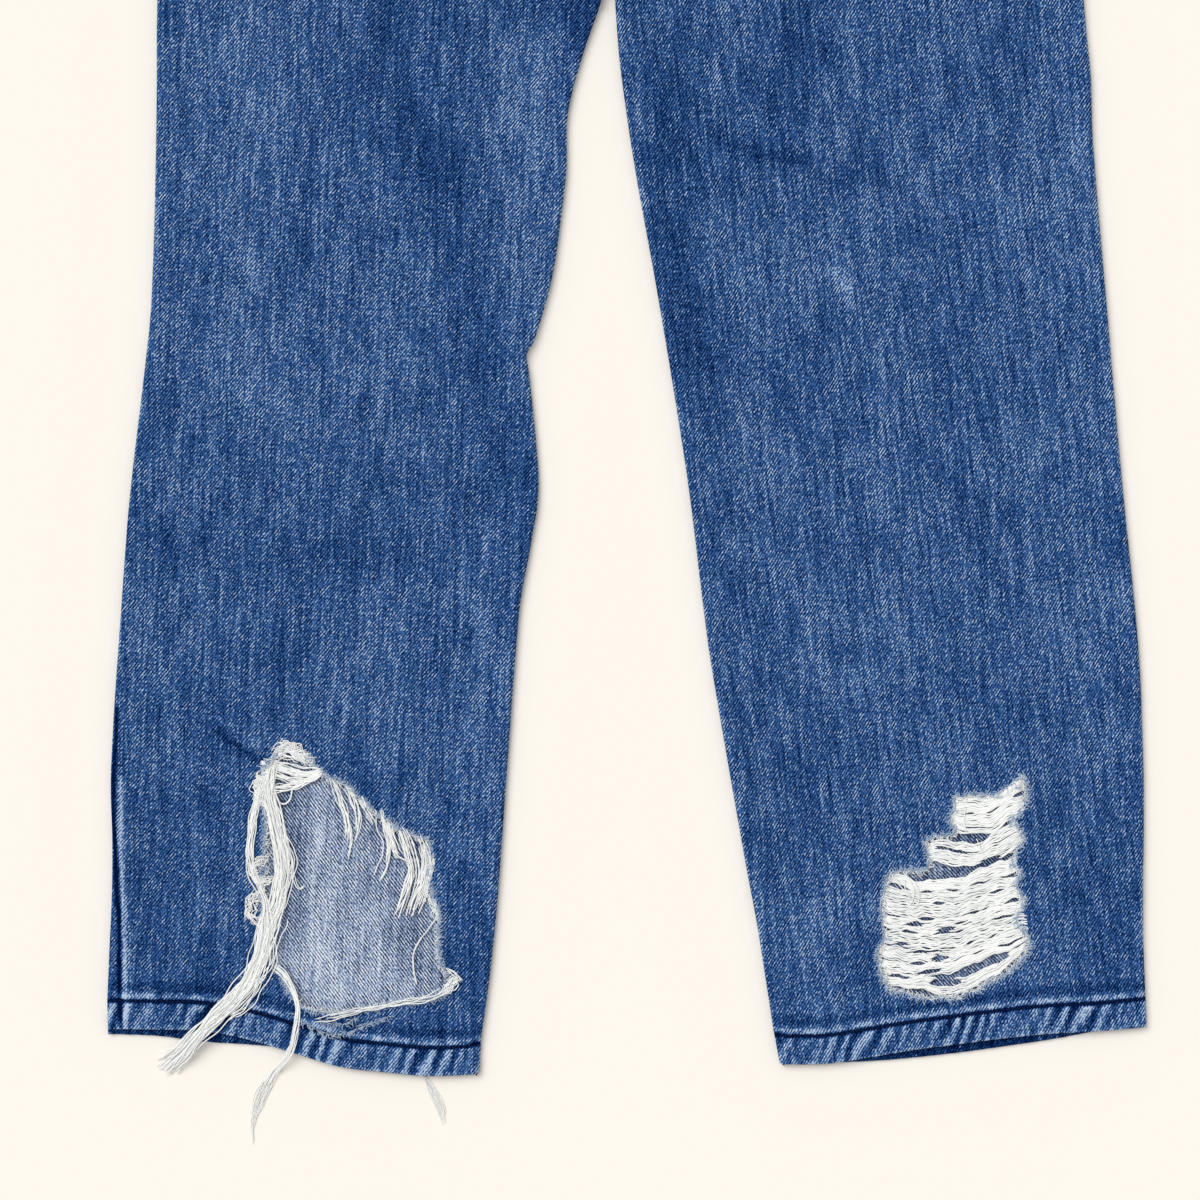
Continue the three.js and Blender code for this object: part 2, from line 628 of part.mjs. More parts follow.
function backPanel(side) {
  const isRight = side < 0;
  return panel({
    left: isRight ? rightOutseam : leftInseam,
    right: isRight ? rightInseam : leftOutseam,
    bottom: through(isRight ? RIGHT_BACK_HEM : LEFT_BACK_HEM),
    top: shifted(yokeSeam, -HALF_GAP),
    leftRolls: isRight ? alwaysRolls : rollsBelowCrotch,
    rightRolls: isRight ? rollsBelowCrotch : alwaysRolls,
    hem: true,
    facesUp: false,
    folds: [],
    keyLengths: isRight ? RIGHT_PINCH : [],
  });
}

function yoke(side) {
  const isRight = side < 0;
  return panel({
    left: isRight ? rightOutseam : leftInseam,
    right: isRight ? rightInseam : leftOutseam,
    bottom: shifted(yokeSeam, HALF_GAP),
    top: shifted(backWaistSeam, -HALF_GAP),
    leftRolls: isRight ? alwaysRolls : neverRolls,
    rightRolls: isRight ? neverRolls : alwaysRolls,
    hem: false,
    facesUp: false,
    folds: [],
    keyLengths: [],
  });
}

const jeans = new THREE.Group();

function addPiece(name, geometry, finish) {
  geometry.computeVertexNormals();
  const mesh = new THREE.Mesh(geometry, new THREE.MeshStandardMaterial(finish));
  mesh.name = name;
  jeans.add(mesh);
}

const PIECE_INSET = 0.6;
const sides = [{ side: -1, name: 'right' }, { side: 1, name: 'left' }];

for (const { side, name } of sides) {
  const blank = frontBlank(side);
  const worn = side < 0 ? RIGHT_TEAR : LEFT_WORN_PATCH;
  const front = blank.subtract(cutter(pocketMouth(side, 0))).subtract(cutter(worn));
  const facing = blank.intersect(cutter(pocketMouth(side, SEAM_GAP)));
  addPiece(`front_${name}`, toGeometry(front), DENIM);
  addPiece(`pocket_facing_${name}`, toGeometry(facing), DENIM);
  addPiece(`back_${name}`, backPanel(side), DENIM);
  addPiece(`yoke_${name}`, yoke(side), DENIM);
  addPiece(`back_pocket_${name}`, backPocket(side), DENIM);
  addPiece(`belt_loop_front_${name}`, frontLoop(centreSeam(SIDE_WAIST) + side * FRONT_LOOP_OFFSET), DENIM);
  addPiece(`belt_loop_back_${name}`, backLoop(centreSeam(SIDE_WAIST) + side * BACK_LOOP_OFFSET), DENIM);
  const fringe = side < 0 ? TEAR_FRINGE : LEFT_WORN_PATCH;
  const fringeName = side < 0 ? 'threads_tear_fringe' : 'threads_worn_patch';
  addPiece(fringeName, toGeometry(blank.intersect(cutter(inset(fringe, PIECE_INSET)))), THREAD);
}

addPiece('belt_loop_back_centre', backLoop(centreSeam(SIDE_WAIST)), DENIM);
addPiece('waistband', waistband(), DENIM);
addPiece('zip', zip(), ZIP_METAL);
addPiece('button', button(), BUTTON_METAL);
for (const [name, strand] of Object.entries(THREAD_STRANDS)) {
  addPiece(name, threadStrand(strand), THREAD);
}

// The origin stands under the middle of the whole garment, on the surface that it lies on.
const box = new THREE.Box3().setFromObject(jeans);
const middle = box.getCenter(new THREE.Vector3());
jeans.position.set(-middle.x, -middle.y, -box.min.z);

export default jeans;
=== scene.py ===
"""Ripped straight-leg jeans laid flat, face up: cloth shells, stitching, a torn hole and loose threads."""

import logging
import math
from dataclasses import dataclass, field
from enum import Enum
from typing import Callable, Sequence

import bpy
import numpy as np
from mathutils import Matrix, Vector
from mathutils.geometry import delaunay_2d_cdt

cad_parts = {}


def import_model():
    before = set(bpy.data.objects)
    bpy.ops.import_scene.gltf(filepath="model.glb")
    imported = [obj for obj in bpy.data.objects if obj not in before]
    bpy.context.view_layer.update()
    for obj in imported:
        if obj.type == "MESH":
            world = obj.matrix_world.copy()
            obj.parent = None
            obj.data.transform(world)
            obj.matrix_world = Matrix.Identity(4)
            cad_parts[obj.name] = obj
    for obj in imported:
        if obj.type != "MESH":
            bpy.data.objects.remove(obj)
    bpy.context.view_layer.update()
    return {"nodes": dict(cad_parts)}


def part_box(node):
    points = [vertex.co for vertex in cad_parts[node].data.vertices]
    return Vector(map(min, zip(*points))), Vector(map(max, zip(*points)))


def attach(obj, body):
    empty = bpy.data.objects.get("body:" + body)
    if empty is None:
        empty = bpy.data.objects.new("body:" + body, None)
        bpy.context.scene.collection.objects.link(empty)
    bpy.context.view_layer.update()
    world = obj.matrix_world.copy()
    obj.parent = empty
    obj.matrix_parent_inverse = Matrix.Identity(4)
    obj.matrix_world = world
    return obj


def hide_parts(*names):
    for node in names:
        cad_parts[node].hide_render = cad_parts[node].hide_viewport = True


LOG = logging.getLogger("jeans")
MM = 0.001
CLOTH_UV = "cloth"
# Each corner's paleness: fading and wear, with painted shade in darkened troughs, under the tear and the worn
# patch and along the hem's stitching, and painted highlight beside creases.
WASH_AND_SHADE = "wash"
FAR = 1e9
ROUTE_STEP = 0.004
HEM_STEP = 0.002
Points = np.ndarray
Piece = bpy.types.Object
Material = bpy.types.Material
Socket = bpy.types.NodeSocket
Colour = tuple[float, float, float, float]
Route = tuple[tuple[float, ...], ...]


class Side(Enum):
    """Which half of the jeans a piece belongs to, as the wearer sees it."""

    RIGHT = "right"
    LEFT = "left"

    @property
    def sign(self) -> int:
        """-1 for the right half, which lies at -X, and 1 for the left half."""
        return -1 if self is Side.RIGHT else 1


class Face(Enum):
    """Which way a panel's right side lies."""

    UP = 1
    DOWN = -1


class EdgeKind(Enum):
    """What a stretch of a panel's outline is."""

    ROLL = "roll"
    HEM = "hem"
    SEAM = "seam"


# Plane geometry
# ---------------------------------------


def smoothstep(value: Points, low: float, high: float) -> Points:
    """A smooth rise from 0 at low to 1 at high.

    Args:
        value: The places to read.
        low: Where the rise starts.
        high: Where the rise ends.

    Returns:
        The height of the rise at each place.
    """
    t = np.clip((np.asarray(value, float) - low) / (high - low), 0.0, 1.0)
    return t * t * (3.0 - 2.0 * t)


def fade(distance: Points, reach: float) -> Points:
    """A bell that is 1 at no distance and has faded at about twice the reach."""
    return np.exp(-((np.asarray(distance, float) / reach) ** 2))


def closed(loop: Points) -> Points:
    """A loop's corners with the first one again at the end."""
    return np.vstack([loop, loop[:1]])


def run_along(line: Points) -> Points:
    """How far along a polyline each of its points is."""
    return np.concatenate([[0.0], np.cumsum(np.linalg.norm(np.diff(line, axis=0), axis=1))])


def from_ends(count: int) -> Points:
    """How many steps each place in a row is from the nearer end."""
    return np.minimum(np.arange(count), np.arange(count)[::-1])


def nearest_on_lines(
    points: Points, lines: Sequence[Points], limit: float = 0.06, batch: int = 400
) -> tuple[Points, Points]:
    """Finds the nearest place on some polylines.

    Args:
        points: Plan points, one row each.
        lines: Polylines in plan.
        limit: How far away a line may be and still count.
        batch: How many points are worked out at once.

    Returns:
        The distance of each point, and the nearest place to it.
    """
    best = np.full(len(points), FAR)
    place = np.zeros((len(points), 2))
    if not len(lines):
        return best, place
    starts = np.vstack([line[:-1] for line in lines])
    runs = np.vstack([line[1:] - line[:-1] for line in lines])
    squares = np.maximum((runs**2).sum(1), 1e-18)
    low = np.minimum(starts[:, 1], starts[:, 1] + runs[:, 1])
    high = np.maximum(starts[:, 1], starts[:, 1] + runs[:, 1])
    order = np.argsort(points[:, 1])
    for first in range(0, len(points), batch):
        rows = order[first : first + batch]
        part = points[rows]
        near = (high > part[0, 1] - limit) & (low < part[-1, 1] + limit)
        if not near.any():
            continue
        offset = part[:, None, :] - starts[near][None]
        t = np.clip((offset * runs[near][None]).sum(2) / squares[near][None], 0.0, 1.0)
        foot = starts[near][None] + t[..., None] * runs[near][None]
        gap = ((part[:, None, :] - foot) ** 2).sum(2)
        pick = gap.argmin(1)
        local = np.arange(len(part))
        best[rows] = np.sqrt(gap[local, pick])
        place[rows] = foot[local, pick]
    return best, place


def inside_polygon(points: Points, loop: Points) -> Points:
    """Says which points lie inside a closed loop.

    Args:
        points: Plan points, one row each.
        loop: The loop's corners in order.

    Returns:
        True for each point inside.
    """
    result = np.zeros(len(points), bool)
    x, y = points[:, 0], points[:, 1]
    for (ax, ay), (bx, by) in zip(loop, np.roll(loop, -1, axis=0)):
        if ay == by:
            continue
        crosses = (ay > y) != (by > y)
        result ^= crosses & (x < (bx - ax) * (y - ay) / (by - ay) + ax)
    return result


def curve_through(stops: Sequence[Sequence[float]], step: float) -> Points:
    """Draws a smooth open line through stops.

    Args:
        stops: The stops, each with any number of values. The first two are its place in plan.
        step: How far apart the line's points lie.

    Returns:
        The line's points, one row each, with every value smoothed alike.
    """
    knots = np.asarray(stops, float)
    padded = np.vstack([2 * knots[0] - knots[1], knots, 2 * knots[-1] - knots[-2]])
    pieces = []
    for i in range(1, len(padded) - 2):
        before, start, end, after = padded[i - 1 : i + 3]
        count = max(int(np.ceil(np.linalg.norm((end - start)[:2]) / step)), 1)
        t = np.linspace(0.0, 1.0, count, endpoint=False)[:, None]
        pieces.append(
            0.5
            * (
                2 * start
                + (end - before) * t
                + (2 * before - 5 * start + 4 * end - after) * t**2
                + (3 * start - before - 3 * end + after) * t**3
            )
        )
    return np.vstack([*pieces, knots[-1:]])


def offset_line(line: Points, distance: float) -> Points:
    """Moves a line sideways.

    Args:
        line: Its points, whose first two values are the place in plan.
        distance: How far it moves to its left.

    Returns:
        The moved line in plan.
    """
    run = np.gradient(line[:, :2], axis=0)
    run /= np.linalg.norm(run, axis=1)[:, None]
    return line[:, :2] + distance * np.stack([-run[:, 1], run[:, 0]], axis=1)


def resampled(line: Points, step: float) -> Points:
    """Spaces a polyline's points evenly.

    Args:
        line: The polyline.
        step: About how far apart the points are to lie.

    Returns:
        The same polyline with evenly spaced points.
    """
    lengths = run_along(line)
    count = max(int(round(lengths[-1] / step)), 1)
    places = np.linspace(0.0, lengths[-1], count + 1)
    return np.stack([np.interp(places, lengths, line[:, k]) for k in range(line.shape[1])], axis=1)


# The garment's place and its lying heights
# ---------------------------------------


@dataclass(frozen=True)
class Garment:
    """The garment's own measure: widths from the crotch and lengths from the right front hem's lowest point.

    Attributes:
        x: Where the crotch stands across the row frame.
        y: Where the hem's lowest point stands along the row frame.
        centre: Where the middle of the waist stands across the row frame.
        HALF_RIGHT: From the right front's outermost point to the crotch.
        SIDE_WAIST: From the hem's lowest point to the waist seam at the sides.
        FRONT_DIP: How far the waist seam dips in front.
        BACK_RISE: How far it rises behind.
        HALF_WAIST: Half the waist's width.
    """

    x: float
    y: float
    centre: float

    HALF_RIGHT = 0.3006
    SIDE_WAIST = 0.890
    FRONT_DIP = 0.022
    BACK_RISE = 0.015
    HALF_WAIST = 0.221

    @classmethod
    def from_frame(cls) -> "Garment":
        """Reads the garment's place from the right front panel and the loop at the back's middle.

        Returns:
            The garment's measure.
        """
        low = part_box("front_right")[0]
        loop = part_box("belt_loop_back_centre")
        return cls(x=low.x + cls.HALF_RIGHT, y=low.y, centre=(loop[0].x + loop[1].x) / 2)

    def place(self, points: Sequence[Sequence[float]]) -> Points:
        """Turns garment measures in millimetres into places in the row frame.

        Args:
            points: Points of width, length and any further values, all in millimetres.

        Returns:
            The same points in metres, in the row frame.
        """
        placed = np.asarray(points, float) * MM
        placed[:, 0] += self.x
        placed[:, 1] += self.y
        return placed

    def length_at(self, y: Points) -> Points:
        """The length along the garment at a row-frame y."""
        return np.asarray(y, float) - self.y

    def waist_line(self, x: Points, rise: float) -> Points:
        """The waist seam's row-frame y at a row-frame x, bowed by rise in its middle."""
        t = np.clip(np.abs(np.asarray(x, float) - self.centre) / self.HALF_WAIST, 0.0, 1.0)
        return self.y + self.SIDE_WAIST + rise * (1.0 - t * t)


@dataclass(frozen=True)
class Stack:
    """How high the layers lie above the surface, as the frame's solids have them.

    Attributes:
        cloth: One layer's thickness.
        hem_cloth: A hem's thickness, three layers together.
        hem_depth: From a hem's fold to its stitching.
        seam_gap: The space between neighbours along a seam.
        seat_lift: How far the pockets and loops hold up the seat.
        leg_top: The front's height in the middle of a leg.
        leg_edge_top: The front's height beside a leg's folds.
        hip_top: The front's height at the hips.
        waist_top: The front's height at the waist.
        roll_radius: How far in a folded edge turns down.
        edge_fade: How far the height beside a fold reaches in.
        hem_fade: How far a hem's height reaches up the leg.
        SEAT: Where along the garment the seat is lifted.
        HIP: Where the front climbs to the hips.
        WAIST: Where it climbs to the waist.
    """

    cloth: float = 0.0011
    hem_cloth: float = 0.0026
    hem_depth: float = 0.017
    seam_gap: float = 0.0003
    seat_lift: float = 0.0015
    leg_top: float = 0.0033
    leg_edge_top: float = 0.0055
    hip_top: float = 0.0062
    waist_top: float = 0.0073
    roll_radius: float = 0.00275
    edge_fade: float = 0.018
    hem_fade: float = 0.022

    SEAT = (0.640, 0.672)
    HIP = (0.610, 0.700)
    WAIST = (0.700, 0.860)

    def lift(self, length: Points) -> Points:
        """How far the back's underside is held up by the pockets and loops beneath it."""
        return self.seat_lift * smoothstep(length, *self.SEAT)

    def middle_top(self, length: Points) -> Points:
        """The front's height away from its edges."""
        hip = self.leg_top + (self.hip_top - self.leg_top) * smoothstep(length, *self.HIP)
        return hip + (self.waist_top - hip) * smoothstep(length, *self.WAIST)

    def edge_top(self, length: Points) -> Points:
        """The front's height beside its folded edges."""
        rise = self.waist_top - self.leg_edge_top
        return self.leg_edge_top + rise * smoothstep(length, *self.HIP)

    def seam_height(self, length: Points) -> Points:
        """How high the side seams lie."""
        return (self.lift(length) + self.edge_top(length)) / 2.0


@dataclass(frozen=True)
class Mark:
    """A soft stroke on the cloth: a fold, a trough, or a paler or darker stretch of the cloth. Darkening in a
    trough and under torn cloth is painted shade, and a paler ridge beside a crease is painted highlight.

    Attributes:
        line: Its stops as width and length on the garment, in millimetres.
        reach: How far it spreads, in millimetres.
        height: How far it lifts the cloth, in millimetres.
        wash: How much paler it makes the cloth, or darker below zero; darkening in a trough and under torn
            cloth is painted shade.
    """

    line: Route
    reach: float
    height: float = 0.0
    wash: float = 0.0

    def strength(self, points: Points, garment: Garment) -> Points:
        """Works out how strongly the stroke shows.

        Args:
            points: The plan points.
            garment: The garment's own measure.

        Returns:
            A strength from 0 to 1 at each point.
        """
        route = curve_through(garment.place(self.line), ROUTE_STEP)
        reach = self.reach * MM
        return fade(nearest_on_lines(points, [route], limit=3.0 * reach)[0], reach)


# Mesh making
# ---------------------------------------


def in_scene(name: str, data: bpy.types.ID) -> Piece:
    """Makes an object and puts it into the scene.

    Args:
        name: Its name.
        data: The mesh, light or camera that it holds.

    Returns:
        The new object.
    """
    made = bpy.data.objects.new(name, data)
    bpy.context.scene.collection.objects.link(made)
    return made


def report(piece: Piece) -> None:
    """Logs a finished piece's name and how many faces it has."""
    LOG.info("%s: %d faces", piece.name, len(piece.data.polygons))


@dataclass
class MeshParts:
    """Gathers corners, faces, cloth coordinates and finishes, and turns them into one mesh.

    Attributes:
        corners: Groups of places.
        faces: Groups of faces, as indices into all the corners.
        uvs: The cloth coordinates of each group of corners.
        finishes: The finish of each face, in groups.
        wash_and_shade_values: How pale the cloth is at each corner, in groups, painted shade and highlight
            included.
        count: How many corners there are so far.
    """

    corners: list[Points] = field(default_factory=list)
    faces: list[Points] = field(default_factory=list)
    uvs: list[Points] = field(default_factory=list)
    finishes: list[Points] = field(default_factory=list)
    wash_and_shade_values: list[Points] = field(default_factory=list)
    count: int = 0

    def add(
        self, corners: Points, faces: Points, uv: Points, finish: Points | int = 0, wash: Points | float = 0.0
    ) -> None:
        """Adds a group of corners with the faces between them.

        Args:
            corners: Places, one row each.
            faces: Triangles or quads of indices into these corners.
            uv: Cloth coordinates, one row for each corner.
            finish: The finish of every face, or one for each.
            wash: How pale the cloth is at every corner, or one for each, painted shade included.
        """
        self.corners.append(corners)
        self.uvs.append(uv)
        self.wash_and_shade_values.append(np.broadcast_to(np.asarray(wash, float), (len(corners),)))
        self.add_faces(faces + self.count, finish)
        self.count += len(corners)

    def add_faces(self, faces: Points, finish: Points | int) -> None:
        """Adds faces between corners that are there already.

        Args:
            faces: Indices into all the corners.
            finish: The finish of every face, or one for each.
        """
        self.faces.append(faces)
        self.finishes.append(np.broadcast_to(np.asarray(finish, np.int32), (len(faces),)))

    def add_tube(self, tube: "Tube", finish: int = 0, wash: float = 0.0) -> None:
        """Adds a tube with both its ends closed.

        Args:
            tube: The tube.
            finish: Its finish.
            wash: How pale it is.
        """
        start = self.count
        self.add(tube.corners, tube.quads, tube.uv, finish, wash)
        self.add_faces(tube.caps + start, finish)

    def build(self, name: str, materials: Sequence[Material], smooth: bool = True) -> Piece:
        """Makes the object.

        Args:
            name: The piece's name.
            materials: The finishes that the faces' numbers mean.
            smooth: Whether its faces shade smoothly.

        Returns:
            The new object, standing at the origin.
        """
        corners = np.vstack(self.corners)
        uvs = np.vstack(self.uvs)
        faces = [row for group in self.faces for row in group.tolist()]
        mesh = bpy.data.meshes.new(name)
        mesh.from_pydata(corners.tolist(), [], faces)
        loops = np.zeros(len(mesh.loops), np.int32)
        mesh.loops.foreach_get("vertex_index", loops)
        layer = mesh.uv_layers.new(name=CLOTH_UV)
        layer.data.foreach_set("uv", uvs[loops].astype(np.float32).ravel())
        wash = mesh.attributes.new(WASH_AND_SHADE, "FLOAT", "POINT")
        wash.data.foreach_set("value", np.concatenate(self.wash_and_shade_values).astype(np.float32))
        for material in materials:
            mesh.materials.append(material)
        mesh.polygons.foreach_set("material_index", np.concatenate(self.finishes).astype(np.int32))
        mesh.polygons.foreach_set("use_smooth", np.full(len(mesh.polygons), smooth))
        mesh.update()
        return in_scene(name, mesh)


MERGE_DIGITS = 6
FACING = 0.02
LEAST_HOLE = 1e-6
SAME_PLACE = 1e-7
LEAST_TURN = 1e-13


def merged_mesh(node: str) -> tuple[Points, Points]:
    """Reads a frame node's corners and triangles, with its doubled corners merged.

    Args:
        node: The node's name.

    Returns:
        The corners and the triangles.
    """
    mesh = bpy.data.objects[node].data
    corners = np.zeros(len(mesh.vertices) * 3)
    mesh.vertices.foreach_get("co", corners)
    corners = corners.reshape(-1, 3)
    mesh.calc_loop_triangles()
    triangles = np.zeros(len(mesh.loop_triangles) * 3, np.int32)
    mesh.loop_triangles.foreach_get("vertices", triangles)
    rounded = np.round(corners, MERGE_DIGITS)
    _, first, inverse = np.unique(rounded, axis=0, return_index=True, return_inverse=True)
    return corners[first], inverse.ravel()[triangles].reshape(-1, 3)


def skin_loops(node: str, face: Face) -> list[Points]:
    """Finds the edges of a panel's right side.

    Args:
        node: The panel's node.
        face: Which way its right side lies.

    Returns:
        Closed loops of places, the longest first, anticlockwise seen from above for the outer one.
    """
    corners, triangles = merged_mesh(node)
    a, b, c = (corners[triangles[:, k]] for k in range(3))
    normals = np.cross(b - a, c - a)
    lengths = np.maximum(np.linalg.norm(normals, axis=1), 1e-15)
    chosen = triangles[face.value * normals[:, 2] / lengths > FACING]
    edges = {(t[k], t[(k + 1) % 3]) for t in chosen.tolist() for k in range(3)}
    follow: dict[int, list[int]] = {}
    for start, end in edges:
        if (end, start) not in edges:
            follow.setdefault(start, []).append(end)
    loops = []
    while follow:
        start = next(iter(follow))
        loop = [start]
        while True:
            ends = follow[loop[-1]]
            following = ends.pop()
            if not ends:
                del follow[loop[-1]]
            if following == start:
                break
            loop.append(following)
        loops.append(corners[loop])
    loops.sort(key=plan_size, reverse=True)
    return [loop if loop_area(loop) > 0 else loop[::-1] for loop in loops if plan_size(loop) > LEAST_HOLE]


def loop_area(loop: Points) -> float:
    """The signed plan area inside a closed loop."""
    x, y = loop[:, 0], loop[:, 1]
    return 0.5 * float((x * np.roll(y, -1) - np.roll(x, -1) * y).sum())


def plan_size(loop: Points) -> float:
    """The plan area inside a closed loop, whichever way it turns."""
    return abs(loop_area(loop))


def triangulated(points: Points, loops: Sequence[Points], starts: Sequence[int]) -> tuple[Points, Points]:
    """Fills an outline and its holes with triangles through given points.

    Args:
        points: Every plan point, with the loops' corners among them.
        loops: The outline first, then the holes.
        starts: Where each loop's corners start among the points.

    Returns:
        The points in use and the triangles, anticlockwise.
    """
    edges = []
    for loop, start in zip(loops, starts):
        count = len(loop)
        edges += [(start + k, start + (k + 1) % count) for k in range(count)]
    placed, _, faces, *_ = delaunay_2d_cdt([Vector(p) for p in points], edges, [], 0, SAME_PLACE)
    corners = np.array([tuple(p) for p in placed])
    triangles = np.array([tuple(f) for f in faces if len(f) == 3], np.int64)
    middles = corners[triangles].mean(1)
    keep = inside_polygon(middles, loops[0])
    for hole in loops[1:]:
        keep &= ~inside_polygon(middles, hole)
    triangles = triangles[keep]
    a, b, c = (corners[triangles[:, k]] for k in range(3))
    turn = (b[:, 0] - a[:, 0]) * (c[:, 1] - a[:, 1]) - (b[:, 1] - a[:, 1]) * (c[:, 0] - a[:, 0])
    triangles[turn < 0] = triangles[turn < 0][:, ::-1]
    triangles = triangles[np.abs(turn) > LEAST_TURN]
    used, inverse = np.unique(triangles, return_inverse=True)
    return corners[used], inverse.reshape(-1, 3)


def boundary_edges(triangles: Points) -> Points:
    """Finds the edges that belong to one triangle only.

    Args:
        triangles: The triangles, as indices.

    Returns:
        The edges, each in its triangle's direction.
    """
    directed = np.vstack([triangles[:, [0, 1]], triangles[:, [1, 2]], triangles[:, [2, 0]]])
    size = int(triangles.max()) + 1
    forward = directed[:, 0] * size + directed[:, 1]
    backward = directed[:, 1] * size + directed[:, 0]
    return directed[~np.isin(forward, backward)]


def hex_grid(low: Points, high: Points, step: float) -> Points:
    """Spreads plan points evenly over a box.

    Args:
        low: The box's lowest corner.
        high: Its highest corner.
        step: How far apart the points lie.

    Returns:
        The points, one row each.
    """
    rows = np.arange(low[1], high[1], step * math.sqrt(3) / 2)
    columns = np.arange(low[0], high[0], step)
    x, y = np.meshgrid(columns, rows)
    x = x + (np.arange(len(rows)) % 2)[:, None] * step / 2
    return np.stack([x.ravel(), y.ravel()], axis=1)


# Finishes
# ---------------------------------------


def paint(red: int, green: int, blue: int) -> Colour:
    """Turns display values of 0 to 255 into a colour as the shader wants it.

    Args:
        red: The red value.
        green: The green value.
        blue: The blue value.

    Returns:
        The colour as light.
    """

    def linear(value: int) -> float:
        """One display value as light."""
        share = value / 255.0
        return share / 12.92 if share <= 0.04045 else ((share + 0.055) / 1.055) ** 2.4

    return (linear(red), linear(green), linear(blue), 1.0)


class Shader:
    """Builds one node material step by step."""

    def __init__(self, name: str) -> None:
        """Starts a material that has a principled surface.

        Args:
            name: The material's name.
        """
        self.material = bpy.data.materials.new(name)
        self.material.use_nodes = True
        self.tree = self.material.node_tree
        self.tree.nodes.clear()
        output = self.tree.nodes.new("ShaderNodeOutputMaterial")
        self.surface = self.tree.nodes.new("ShaderNodeBsdfPrincipled")
        self.tree.links.new(self.surface.outputs["BSDF"], output.inputs["Surface"])

    def set(self, **values: float | tuple) -> None:
        """Sets constants on the surface's own sockets.

        Args:
            **values: The sockets' values, with underscores for spaces in their names.
        """
        for name, value in values.items():
            self.surface.inputs[name.replace("_", " ")].default_value = value

    def plug(self, socket: Socket, value: Socket | float | tuple) -> None:
        """Links a value into a socket, or sets it there if it is a constant.

        Args:
            socket: The socket that takes it.
            value: The value.
        """
        if isinstance(value, Socket):
            self.tree.links.new(value, socket)
        else:
            socket.default_value = value

    def math(self, operation: str, first: Socket | float, second: Socket | float = 0.0) -> Socket:
        """Works out one sum.

        Args:
            operation: The sum's name in the shader's own words.
            first: Its first value or socket.
            second: Its second value or socket.

        Returns:
            The result.
        """
        node = self.tree.nodes.new("ShaderNodeMath")
        node.operation = operation
        self.plug(node.inputs[0], first)
        self.plug(node.inputs[1], second)
        return node.outputs[0]

    def total(self, *terms: Socket | float) -> Socket:
        """Adds several values.

        Args:
            *terms: The values.

        Returns:
            Their sum.
        """
        result = terms[0]
        for term in terms[1:]:
            result = self.math("ADD", result, term)
        return result

    def within(self, value: Socket) -> Socket:
        """Keeps a value between 0 and 1."""
        return self.math("MAXIMUM", self.math("MINIMUM", value, 1.0), 0.0)

    def cloth_place(self) -> Socket:
        """Reads the place on the cloth.

        Returns:
            The place, in metres across and along its grain.
        """
        node = self.tree.nodes.new("ShaderNodeUVMap")
        node.uv_map = CLOTH_UV
        return node.outputs["UV"]

    def object_place(self) -> Socket:
        """The place on the piece, in metres."""
        return self.tree.nodes.new("ShaderNodeTexCoord").outputs["Object"]

    def combined(self, across: Socket, along: Socket) -> Socket:
        """Makes a place of two values.

        Args:
            across: Its first value.
            along: Its second value.

        Returns:
            The place.
        """
        node = self.tree.nodes.new("ShaderNodeCombineXYZ")
        self.tree.links.new(across, node.inputs[0])
        self.tree.links.new(along, node.inputs[1])
        return node.outputs["Vector"]

    def wash(self) -> Socket:
        """Reads how pale the cloth is here.

        Returns:
            The paleness that the corners carry, painted shade and highlight included.
        """
        node = self.tree.nodes.new("ShaderNodeAttribute")
        node.attribute_name = WASH_AND_SHADE
        return node.outputs["Fac"]

    def stretched(self, place: Socket, across: float, along: float, shift: float = 0.0) -> Socket:
        """Measures a place in steps.

        Args:
            place: The place.
            across: A step's width, in metres.
            along: A step's length, in metres.
            shift: Moves the steps.

        Returns:
            The place in steps.
        """
        node = self.tree.nodes.new("ShaderNodeMapping")
        self.tree.links.new(place, node.inputs["Vector"])
        node.inputs["Scale"].default_value = (1.0 / across, 1.0 / along, 1.0 / along)
        node.inputs["Location"].default_value = (shift, shift, shift)
        return node.outputs["Vector"]

    def speckle(
        self,
        place: Socket,
        across: float,
        along: float,
        strength: float,
        detail: float = 2.0,
        shift: float = 0.0,
    ) -> Socket:
        """Soft random blotches of a given size.

        Args:
            place: The place to read.
            across: A blotch's width, in metres.
            along: A blotch's length, in metres.
            strength: How far it swings about nought.
            detail: How many finer layers it has.
            shift: Moves the blotches, so that two layers differ.

        Returns:
            The swing.
        """
        node = self.tree.nodes.new("ShaderNodeTexNoise")
        node.inputs["Scale"].default_value = 1.0
        node.inputs["Detail"].default_value = detail
        node.inputs["Roughness"].default_value = 0.55
        self.tree.links.new(self.stretched(place, across, along, shift), node.inputs["Vector"])
        centred = self.math("SUBTRACT", node.outputs["Fac"], 0.5)
        return self.math("MULTIPLY", centred, strength)

    def colour(self, value: Socket, stops: Sequence[tuple[float, Colour]]) -> None:
        """Colours the surface by a value.

        Args:
            value: A value from 0 to 1.
            stops: Where each colour stands.
        """
        node = self.tree.nodes.new("ShaderNodeValToRGB")
        node.color_ramp.interpolation = "LINEAR"
        while len(node.color_ramp.elements) < len(stops):
            node.color_ramp.elements.new(0.5)
        for element, (place, colour) in zip(node.color_ramp.elements, stops):
            element.position = place
            element.color = colour
        self.tree.links.new(value, node.inputs["Fac"])
        self.tree.links.new(node.outputs["Color"], self.surface.inputs["Base Color"])

    def bump(self, height: Socket, distance: float, strength: float) -> None:
        """Raises the surface by a height field.

        Args:
            height: The field, from 0 to 1.
            distance: How high 1 is, in metres.
            strength: How much of it shows.
        """
        node = self.tree.nodes.new("ShaderNodeBump")
        node.inputs["Distance"].default_value = distance
        node.inputs["Strength"].default_value = strength
        self.tree.links.new(height, node.inputs["Height"])
        self.tree.links.new(node.outputs["Normal"], self.surface.inputs["Normal"])


